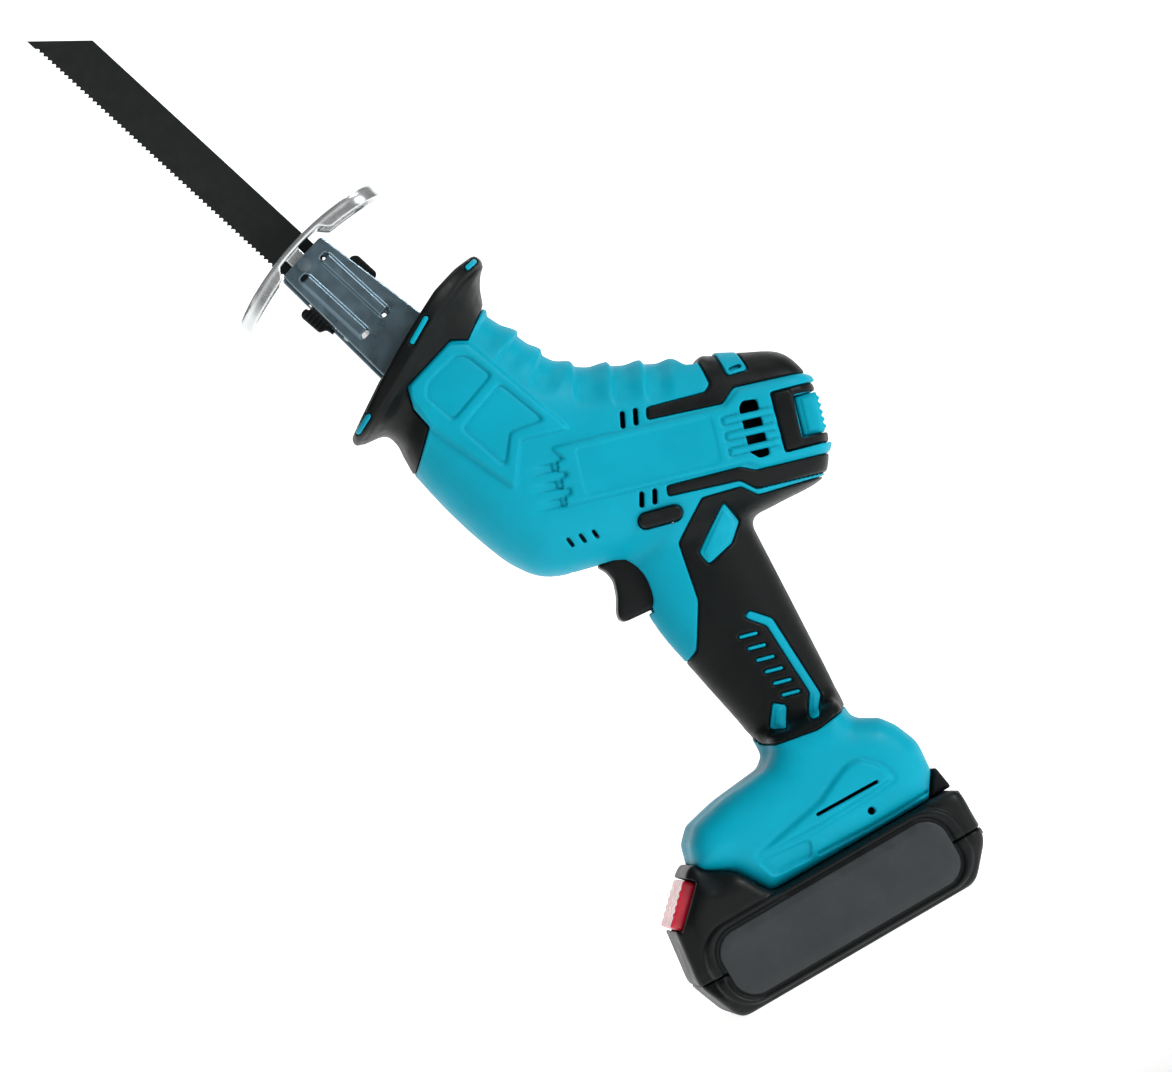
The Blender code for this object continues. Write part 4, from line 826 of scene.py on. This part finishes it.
def build_rear_cap():
    """Ribbed cap between the rubber arms at the rear."""
    grid = Grid((76.0, -27.0, 160.0), (96.5, 27.0, 205.0), 0.45 * FINE)
    x, z = grid.side_x, grid.side_z
    body, _, end = station_field(BODY_STATIONS, grid, BODY_POWER)
    sine, cosine = math.sin(MOTOR_TILT), math.cos(MOTOR_TILT)
    s = (x - CRANK[0]) * cosine - (z - CRANK[1]) * sine
    n = (x - CRANK[0]) * sine + (z - CRANK[1]) * cosine
    body = both(body, grid.lift(end - 1.2), 2.0)
    ribs = 0.55 * np.cos(2.0 * np.pi * (n - 0.8) / 2.75)
    body = both(body, grid.lift(s - 108.9 - ribs), 0.8)
    block = both(grid.lift(np.maximum(np.abs(n - 0.95) - 7.75, 99.2 - s)), grid.beside(23.2), 2.0)
    cap = both(body + 0.4, block, 1.2)
    step = raised(grid.outline(on_motor((101.6, 7.4), (107.0, 7.4), (107.0, -5.4), (101.6, -5.4))), 0.6, 1.0)
    cap = cap - grid.lift(step) * (np.abs(grid.y) > 12.0)
    moulded("rear_grille", cap, grid, "tool", "cyan_plastic", ("rear_cap",))


# ---------------------------------------------------------------- blade, clamp, bracket and shoe
BLADE_START, BLADE_SHOULDER, BLADE_TIP, BLADE_BACK_END = 98.0, 119.0, 257.0, 239.0
TOOTH_EDGE, BLADE_BACK, TANG_HALF = -8.0, 9.2, 5.0
TOOTH_PITCH, TOOTH_DEPTH = 2.1, 0.95
BLADE_HALF = 0.6


def prism_mesh(name, outline, half_thick, bevel):
    """Flat plate of a (s, t) outline on the nose axes, with small bevels along its faces."""
    builder = bmesh.new()
    lower = []
    for s, t in outline:
        place = from_nose(np.array([(t, -half_thick, s)]))[0] * MM
        lower.append(builder.verts.new(place))
    face = builder.faces.new(lower)
    grown = bmesh.ops.extrude_face_region(builder, geom=[face])
    moved = [v for v in grown["geom"] if isinstance(v, bmesh.types.BMVert)]
    bmesh.ops.translate(builder, verts=moved, vec=(0.0, 2.0 * half_thick * MM, 0.0))
    bmesh.ops.recalc_face_normals(builder, faces=builder.faces)
    if bevel > 0.0:
        rims = [e for e in builder.edges if len(e.link_faces) == 2
                and any(len(f.verts) > 4 for f in e.link_faces)]
        bmesh.ops.bevel(builder, geom=rims, offset=bevel * MM, segments=1, affect="EDGES",
                        clamp_overlap=True)
    bmesh.ops.triangulate(builder, faces=[f for f in builder.faces if len(f.verts) > 4])
    mesh = bpy.data.meshes.new(name)
    builder.to_mesh(mesh)
    builder.free()
    return mesh


def build_blade():
    """Toothed blade with a raked tip."""
    outline = [(BLADE_START, -TANG_HALF), (BLADE_SHOULDER - 3.0, -TANG_HALF),
               (BLADE_SHOULDER, TOOTH_EDGE + TOOTH_DEPTH)]
    count = int((BLADE_TIP - 2.0 - BLADE_SHOULDER - 2.0) / TOOTH_PITCH)
    for tooth in range(count):
        along = BLADE_SHOULDER + 2.0 + tooth * TOOTH_PITCH
        outline += [(along, TOOTH_EDGE + TOOTH_DEPTH), (along + 0.25 * TOOTH_PITCH, TOOTH_EDGE + TOOTH_DEPTH),
                    (along + 0.75 * TOOTH_PITCH, TOOTH_EDGE)]
    outline += [(BLADE_TIP, TOOTH_EDGE), (BLADE_BACK_END, BLADE_BACK), (BLADE_SHOULDER + 2.0, BLADE_BACK),
                (BLADE_SHOULDER - 3.0, TANG_HALF), (BLADE_START, TANG_HALF)]
    settle("toothed_blade", prism_mesh("toothed_blade", outline, BLADE_HALF, 0.12), "plunger",
           "blade_steel", ("saw_blade",), crease=25.0)


BRACKET_SIDE = ((-10.4, 34.0), (-10.4, 72.0), (-8.6, 124.8), (12.2, 124.8), (17.1, 72.0), (17.7, 34.0))
BRACKET_IN, BRACKET_THICK = 12.1, 1.6
RIB_HEIGHTS, RIB_START, RIB_END, RIB_RADIUS, RIB_RISE = (7.4, -3.7), 88.6, 117.2, 2.3, 1.3
SHOE_PIVOT = 122.0


def build_bracket():
    """Two pressed side plates with hollow ribs, punched at the ribs' ends."""
    grid = Grid((-12.0, -16.0, 32.0), (19.0, -10.5, 127.0), 0.36 * FINE)
    t, s = grid.side_x, grid.side_z
    plate = grid.outline(BRACKET_SIDE, 0.8)
    rise = np.zeros(t.shape, np.float32)
    holes = np.hypot(t, s - SHOE_PIVOT) - 1.9
    for height in RIB_HEIGHTS:
        rib = grid.capsule(((height, RIB_START), (height, RIB_END)))
        rise = np.maximum(rise, RIB_RISE * ease((RIB_RADIUS + 0.5 - rib) / 1.3))
        for along in (RIB_START - 1.4, RIB_END + 1.4):
            holes = np.minimum(holes, grid.capsule(((height - 0.7, along), (height + 0.9, along)), 0.95))
    middle = -(BRACKET_IN + BRACKET_THICK / 2.0) - grid.lift(rise)
    sheet = np.abs(grid.y - middle) - BRACKET_THICK / 2.0
    field = both(both(sheet, grid.lift(plate), 0.35), grid.lift(-holes), 0.35)
    points, quads = surface(field, grid)
    for side, flip in (("left", 1.0), ("right", -1.0)):
        placed = from_nose(points * np.array((1.0, flip, 1.0)))
        faces = quads if flip > 0.0 else quads[:, ::-1]
        settle("side_plate_" + side, mesh_from("side_plate_" + side, placed, faces), "tool",
               "grey_steel", ("bracket_" + side,))


SHOE_FRONT, SHOE_CURVE, SHOE_CENTRE = 130.6, 116.0, 3.6
SHOE_LOW, SHOE_HIGH, SHOE_HALF_WIDTH, SHOE_THICK, SHOE_CORNER = -33.0, 40.0, 17.0, 2.0, 13.0


def build_shoe():
    """Curved plated shoe with rolled ends, a slot for the blade and two lugs."""
    grid = Grid((SHOE_LOW - 1.5, -18.5, 108.0), (SHOE_HIGH + 1.5, 18.5, 132.5), 0.42 * FINE)
    t, s = grid.side_x, grid.side_z
    centre_s = SHOE_FRONT - SHOE_CURVE
    curve = np.hypot(s - centre_s, t - SHOE_CENTRE) - SHOE_CURVE
    sheet = np.maximum(curve, -SHOE_THICK - curve)
    middle, half = (SHOE_LOW + SHOE_HIGH) / 2.0, (SHOE_HIGH - SHOE_LOW) / 2.0
    across = np.abs(grid.side_x[:, :1] - middle) - (half - SHOE_CORNER)
    beside = np.abs(grid.y[0, :, 0])[None, :] - (SHOE_HALF_WIDTH - SHOE_CORNER)
    footprint = (np.hypot(np.maximum(across, 0.0), np.maximum(beside, 0.0))
                 + np.minimum(np.maximum(across, beside), 0.0) - SHOE_CORNER)[:, :, None]
    plate = both(grid.lift(sheet), footprint, 1.6)
    reach = 3.6 * ease((np.abs(t - SHOE_CENTRE) - 10.0) / 4.5) + 2.2
    flange = both(grid.lift(np.maximum(curve, -reach - curve)), np.abs(footprint + 0.9) - 0.9, 0.8)
    solid = either(plate, flange, 0.8)
    slot = both(grid.lift(np.abs(t - 0.5) - 13.0), grid.beside(4.0), 2.5)
    solid = both(solid, -slot, 0.8)
    inside = np.abs(np.abs(grid.y) - 10.15) - 1.25
    web = np.maximum(np.abs(t) - 3.4, np.maximum(SHOE_PIVOT - s, s - SHOE_FRONT + 1.0))
    eye = np.hypot(t, s - SHOE_PIVOT) - 3.4
    lugs = both(grid.lift(np.minimum(web, eye)), inside, 0.4)
    solid = either(solid, lugs, 0.6)
    solid = both(solid, grid.lift(1.9 - np.hypot(t, s - SHOE_PIVOT)), 0.3)
    moulded("plated_shoe", solid, grid, "shoe", "chrome_steel", ("shoe",), place=from_nose)


EAR_OUTLINES = (
    ((8.5, 99.2), (16.2, 99.2), (17.4, 100.4), (17.4, 109.8), (15.8, 111.4), (11.4, 111.4), (11.0, 109.0),
     (8.5, 109.0)),
    ((-8.5, 99.2), (-9.9, 99.0), (-9.9, 93.6), (-11.0, 94.0), (-11.6, 99.2), (-14.2, 100.6),
     (-14.5, 109.6), (-13.2, 110.8), (-10.9, 110.8), (-10.6, 109.0), (-8.5, 109.0)),
)
TWIST_OUTER, TWIST_INNER, TWIST_MIDDLE, TWIST_HALF = 10.0, 7.5, 104.0, 5.0


def build_clamp():
    """Twist collar with two finger ears, and the slotted holder inside it."""
    grid = Grid((-16.0, -11.5, 97.0), (19.0, 11.5, 112.5), 0.34 * FINE)
    t, s = grid.side_x, grid.side_z
    across = np.hypot(grid.lift(t), grid.y)
    knurl = 0.25 * np.cos(16.0 * np.arctan2(grid.y, grid.lift(t)))
    ring = both(both(across - TWIST_OUTER - knurl, TWIST_INNER - across, 0.3),
                grid.lift(np.abs(s - TWIST_MIDDLE) - TWIST_HALF), 0.8)
    ears = np.minimum.reduce([grid.outline(ear) for ear in EAR_OUTLINES])
    grip = 0.22 * np.cos(2.0 * np.pi * s / 1.8)
    lobes = both(grid.lift(softened(ears, grid, 0.5)), np.abs(grid.y) - 2.3 - grid.lift(grip), 0.8)
    lobes = both(lobes, TWIST_INNER - across)
    moulded("clamp_lever", either(ring, lobes, 1.0), grid, "clamp", "black_plastic", ("clamp_collar",),
            place=from_nose)
    grid = Grid((-10.5, -10.5, 89.5), (10.5, 10.5, 113.8), 0.34 * FINE)
    t, s = grid.side_x, grid.side_z
    across = np.hypot(grid.lift(t), grid.y)
    body = both(across - 7.15, grid.lift(np.abs(s - 101.7) - 11.3), 1.0)
    flange = both(across - 9.5, grid.lift(np.abs(s - 91.5) - 1.1), 0.5)
    slot = both(grid.lift(np.maximum(np.abs(t) - 5.3, 97.6 - s)), np.abs(grid.y) - 0.95)
    holder = both(either(body, flange, 0.8), -slot, 0.3)
    moulded("blade_holder", holder, grid, "plunger", "grey_steel", ("clamp_body",), place=from_nose)


# ---------------------------------------------------------------- controls
def build_controls():
    """Trigger with a finger hollow, and the lock bar across the handle."""
    grid = Grid((-17.0, -8.5, 148.0), (9.0, 8.5, 177.0), 0.34 * FINE)
    x, z = grid.side_x, grid.side_z
    outline = ((-13.2, 174.6), (-10.2, 171.0), (-9.4, 166.5), (-11.2, 161.0), (-14.6, 155.0), (-15.2, 152.4),
               (-13.6, 150.6), (-2.0, 149.6), (7.3, 149.6), (7.3, 170.4), (0.0, 174.8))
    blade = both(grid.lift(grid.outline(outline, 1.0)), grid.beside(6.9), 2.2)
    barrel = np.maximum(grid.lift(-3.0 - x), np.hypot(grid.y, grid.lift(z - 160.0)) - 3.2)
    blade = both(blade, -barrel, 0.3)
    moulded("trigger_shoe", blade, grid, "trigger", "black_plastic", ("trigger",))
    grid = Grid((7.0, -27.2, 172.0), (26.0, 27.2, 185.0), 0.36 * FINE)
    bar = both(grid.lift(grid.capsule(LOCK_ENDS, LOCK_RADIUS - 0.15)), grid.beside(26.9), 1.0)
    moulded("lock_bar", bar, grid, "lock", "black_plastic", ("lock_button",))


# ---------------------------------------------------------------- battery pack
PACK_HALF = 37.4
PACK_SPLIT = 17.5
PACK_SIDE = ((-53.0, 0.0), (50.5, 0.0), (61.2, 12.5), (61.7, 34.3), (-19.6, 34.3), (-28.0, 49.1),
             (-38.1, 55.1), (-39.6, 61.4), (-57.0, 44.4), (-60.0, 18.0))
PANEL_LOW, PANEL_HIGH, PANEL_CORNER = (-48.6, 4.4), (49.6, 31.0), 9.5
BUTTON_MIDDLE, BUTTON_IN = (-51.2, 49.0), (0.70, -0.714)
BUTTON_HALF_WIDTH, BUTTON_HALF_LENGTH, BUTTON_PROUD, BUTTON_DEPTH = 26.0, 9.4, 0.5, 4.6
STEP_DEPTH, POCKET_DEPTH = 4.2, 7.0
RAIL_MIDDLE, RAIL_HALF_LENGTH = 14.75, 29.7
RAIL_STEPS = ((30.0, 38.4, 18.4), (38.2, 41.9, 22.4))      # bottom, top and half width


def rounded_box(low, high, corner, x, z):
    """Side-view field of a rectangle with round corners."""
    dx = np.abs(x - (low[0] + high[0]) / 2.0) - (high[0] - low[0]) / 2.0 + corner
    dz = np.abs(z - (low[1] + high[1]) / 2.0) - (high[1] - low[1]) / 2.0 + corner
    return np.hypot(np.maximum(dx, 0.0), np.maximum(dz, 0.0)) + np.minimum(np.maximum(dx, dz), 0.0) - corner


def build_pack():
    """Slide-on battery pack: two case halves with a raised plate at the rear, side panels and release button.
    """
    grid = Grid((-61.0, -38.0, -0.5), (62.5, 38.0, 62.5), 0.62 * FINE)
    x, z = grid.side_x, grid.side_z
    side = grid.outline([(a * 0.985 + 0.2, 1.2 + b * 0.965) for a, b in PACK_SIDE], 2.6) - 0.9
    side = np.maximum(side, -z)
    panel = rounded_box(PANEL_LOW, PANEL_HIGH, PANEL_CORNER, x, z)
    ring = rounded_box((PANEL_LOW[0] - 5.6, PANEL_LOW[1] - 2.6), (PANEL_HIGH[0] + 5.6, PANEL_HIGH[1] + 3.6),
                       PANEL_CORNER + 4.0, x, z)
    drop = 1.1 - raised(ring, 1.1, 1.0)
    beside = np.abs(grid.y) - PACK_HALF + grid.lift(drop)
    bevel = 2.4 + 5.6 * ease((-24.0 - x) / 14.0) * ease((z - 8.0) / 12.0)
    case = both(grid.lift(side), beside, 1.2)
    case = both(case, (grid.lift(side + bevel) + beside) * 0.7071, 1.6)
    relief = groove(ring - 0.3, 0.35, 1.4) + groove(panel - 0.6, 1.6, 2.2)
    for z_split, x_from, x_to in ((PACK_SPLIT, 50.4, 56.0), (PACK_SPLIT - 1.0, -54.8, -49.6)):
        split = grid.capsule(((x_from, z_split), (x_to, z_split)))
        relief = np.minimum(relief, groove(split, 0.8, 1.1))
    case = case - grid.lift(relief) * ease((np.abs(grid.y) - 30.0) / 3.0)
    plate = grid.outline(((56.0, 13.6), (62.2, 14.6), (61.9, 33.4), (56.0, 33.8)))
    case = either(case, both(grid.lift(plate), grid.beside(30.0), 0.8), 0.4)
    notch = both(grid.lift(panel - 0.25), PACK_HALF - 1.5 - np.abs(grid.y))
    case = both(case, -notch, 0.3)
    for low, high, half_width in RAIL_STEPS:
        bar = np.maximum(np.abs(x - RAIL_MIDDLE) - RAIL_HALF_LENGTH, np.maximum(low - z, z - high))
        case = either(case, both(grid.lift(bar), grid.beside(half_width), 0.8))
    for centre in (-9.0, 9.0):
        slot = both(grid.lift(np.maximum(30.8 - x, np.maximum(38.9 - z, z - 41.7))),
                    np.abs(grid.y - centre) - 1.0)
        case = both(case, -slot)
    inward = np.array(BUTTON_IN)
    depth = (x - BUTTON_MIDDLE[0]) * inward[0] + (z - BUTTON_MIDDLE[1]) * inward[1]
    along = -(x - BUTTON_MIDDLE[0]) * inward[1] + (z - BUTTON_MIDDLE[1]) * inward[0]
    reach = np.abs(along) - BUTTON_HALF_LENGTH
    step = grid.lift(np.maximum(reach - 0.6, depth - STEP_DEPTH))
    pocket = both(grid.lift(np.maximum(reach - 0.3, depth - POCKET_DEPTH)),
                  np.abs(grid.y) - BUTTON_HALF_WIDTH - 0.3)
    case = both(case, -np.minimum(step, pocket), 0.5)
    hollow = both(grid.lift(rounded_box((-50.0, 3.0), (50.0, 31.0), 2.0, x, z)), grid.beside(33.6), 2.0)
    case = both(case, -hollow)
    lower = both(case, grid.lift(z - PACK_SPLIT + PART_PLANE), 0.6)
    upper = both(case, grid.lift(PACK_SPLIT + PART_PLANE - z), 0.6)
    moulded("pack_shell_lower", lower, grid, "battery", "black_plastic", ("pack_case_lower",))
    moulded("pack_shell_upper", upper, grid, "battery", "black_plastic", ("pack_case_upper",))
    ribs = 0.25 * np.cos(2.0 * np.pi * along / 2.9) * (np.abs(along) < 6.5)
    button = both(both(grid.lift(reach), grid.beside(BUTTON_HALF_WIDTH), 1.2),
                  grid.lift(np.maximum(ribs - BUTTON_PROUD - depth, depth - BUTTON_DEPTH)), 0.8)
    moulded("release_key", button, grid, "release", "red_plastic", ("release_button",))
    grid = Grid((-50.0, -38.0, 2.5), (51.0, -35.0, 33.0), 0.5 * FINE)
    x, z = grid.side_x, grid.side_z
    panel = rounded_box(PANEL_LOW, PANEL_HIGH, PANEL_CORNER, x, z)
    crown = grid.lift(0.35 * ease(-panel / 4.0))
    plate = both(both(grid.lift(panel + SEAM), -PACK_HALF + 0.1 - grid.y + 0.25 - crown, 0.9),
                 grid.y + PACK_HALF - 1.3)
    for name, mirror in (("left", False), ("right", True)):
        moulded("pack_face_" + name, plate, grid, "battery", "grey_plastic", ("pack_panel_" + name,),
                mirror=mirror)


def build_bumper():
    """Ribbed rubber bumper behind the rail."""
    grid = Grid((50.5, -24.5, 34.5), (62.0, 24.5, 46.0), 0.36 * FINE)
    outline = ((51.8, 35.5), (60.9, 35.5), (59.4, 44.5), (58.0, 45.1))
    body = both(grid.lift(grid.outline(outline, 0.5)), grid.beside(23.9), 1.4)
    body = body + 0.25 * np.cos(2.0 * np.pi * grid.y / 4.0) + 0.25
    moulded("rail_bumper", body, grid, "tool", "black_rubber", ("foot_bumper",))


build_collar()
build_rear_cap()
build_blade()
build_bracket()
build_shoe()
build_clamp()
build_controls()
build_pack()
build_bumper()


# ---------------------------------------------------------------- stage, lights and camera
def build_stage():
    """Pale floor that sweeps up into a backdrop behind the saw."""
    profile = [(-4.0, 0.0), (3.4, 0.0)]
    for k in range(1, 13):
        angle = math.pi / 2.0 * k / 12.0
        profile.append((3.4 + 0.9 * math.sin(angle), 0.9 - 0.9 * math.cos(angle)))
    profile.append((4.3, 5.0))
    mesh = bpy.data.meshes.new("studio_sweep")
    points, faces = [], []
    for y, z in profile:
        points += [(-6.0, y, z), (6.0, y, z)]
    for k in range(len(profile) - 1):
        faces.append((2 * k, 2 * k + 1, 2 * k + 3, 2 * k + 2))
    mesh.from_pydata(points, [], faces)
    mesh.polygons.foreach_set("use_smooth", [True] * len(mesh.polygons))
    sweep = bpy.data.objects.new("studio_sweep", mesh)
    bpy.context.scene.collection.objects.link(sweep)
    material = bpy.data.materials.new("studio_paper")
    material.use_nodes = True
    tree = material.node_tree
    shader = tree.nodes["Principled BSDF"]
    shader.inputs["Roughness"].default_value = 0.9
    shader.inputs["Specular IOR Level"].default_value = 0.1
    shader.inputs["Emission Color"].default_value = (1.0, 1.0, 0.99, 1.0)
    place = tree.nodes.new("ShaderNodeTexCoord")
    split = tree.nodes.new("ShaderNodeSeparateXYZ")
    tree.links.new(place.outputs["Object"], split.inputs["Vector"])
    glow = spread(tree, split.outputs["Y"], -1.2, -0.5, 0.05, 0.85)
    tree.links.new(glow, shader.inputs["Emission Strength"])
    texture = tree.nodes.new("ShaderNodeTexNoise")
    texture.inputs["Scale"].default_value = 1.5
    tree.links.new(place.outputs["Object"], texture.inputs["Vector"])
    tree.links.new(spread(tree, texture.outputs["Fac"], 0.0, 1.0, 0.90, 0.94), shader.inputs["Base Color"])
    mesh.materials.append(material)


def soft_light(name, place, target, size, power):
    """Large square lamp aimed at a point."""
    data = bpy.data.lights.new(name, "AREA")
    data.shape = "SQUARE"
    data.size = size
    data.energy = power
    lamp = bpy.data.objects.new(name, data)
    bpy.context.scene.collection.objects.link(lamp)
    lamp.location = place
    lamp.rotation_euler = (Vector(target) - Vector(place)).to_track_quat("-Z", "Y").to_euler()


VIEW_YAW, VIEW_ROLL = math.radians(4.0), math.radians(30.0)
VIEW_DISTANCE, VIEW_WIDTH, SENSOR = 3.0, 0.4454, 36.0
VIEW_CENTRE = Vector((-0.0099, 0.0, 0.1864))


def build_view():
    """Long-lens camera near square to the saw's left side, rolled so that its nose points up and left."""
    backward = Vector((-math.sin(VIEW_YAW), -math.cos(VIEW_YAW), 0.0))
    level = Vector((math.cos(VIEW_YAW), -math.sin(VIEW_YAW), 0.0))
    up = Vector((0.0, 0.0, 1.0))
    right = level * math.cos(VIEW_ROLL) - up * math.sin(VIEW_ROLL)
    over = level * math.sin(VIEW_ROLL) + up * math.cos(VIEW_ROLL)
    data = bpy.data.cameras.new("view")
    data.sensor_width = SENSOR
    data.lens = SENSOR * VIEW_DISTANCE / VIEW_WIDTH
    data.clip_start, data.clip_end = 0.05, 50.0
    camera = bpy.data.objects.new("view", data)
    bpy.context.scene.collection.objects.link(camera)
    place = VIEW_CENTRE + backward * VIEW_DISTANCE
    camera.matrix_world = Matrix((
        (right.x, over.x, backward.x, place.x), (right.y, over.y, backward.y, place.y),
        (right.z, over.z, backward.z, place.z), (0.0, 0.0, 0.0, 1.0)))
    bpy.context.scene.camera = camera


build_stage()
soft_light("key", (1.35, -1.25, 1.05), (0.0, 0.0, 0.2), 0.55, 24.0)
soft_light("fill", (-1.3, -1.7, 0.9), (0.0, 0.0, 0.2), 1.2, 4.0)
soft_light("top", (0.5, 0.2, 1.9), (0.0, 0.0, 0.25), 0.9, 8.0)
world = bpy.data.worlds.new("studio")
bpy.context.scene.world = world
world.use_nodes = True
world.node_tree.nodes["Background"].inputs["Color"].default_value = (1.0, 1.0, 1.0, 1.0)
world.node_tree.nodes["Background"].inputs["Strength"].default_value = 0.10
bpy.context.scene.view_settings.view_transform = "Standard"
build_view()
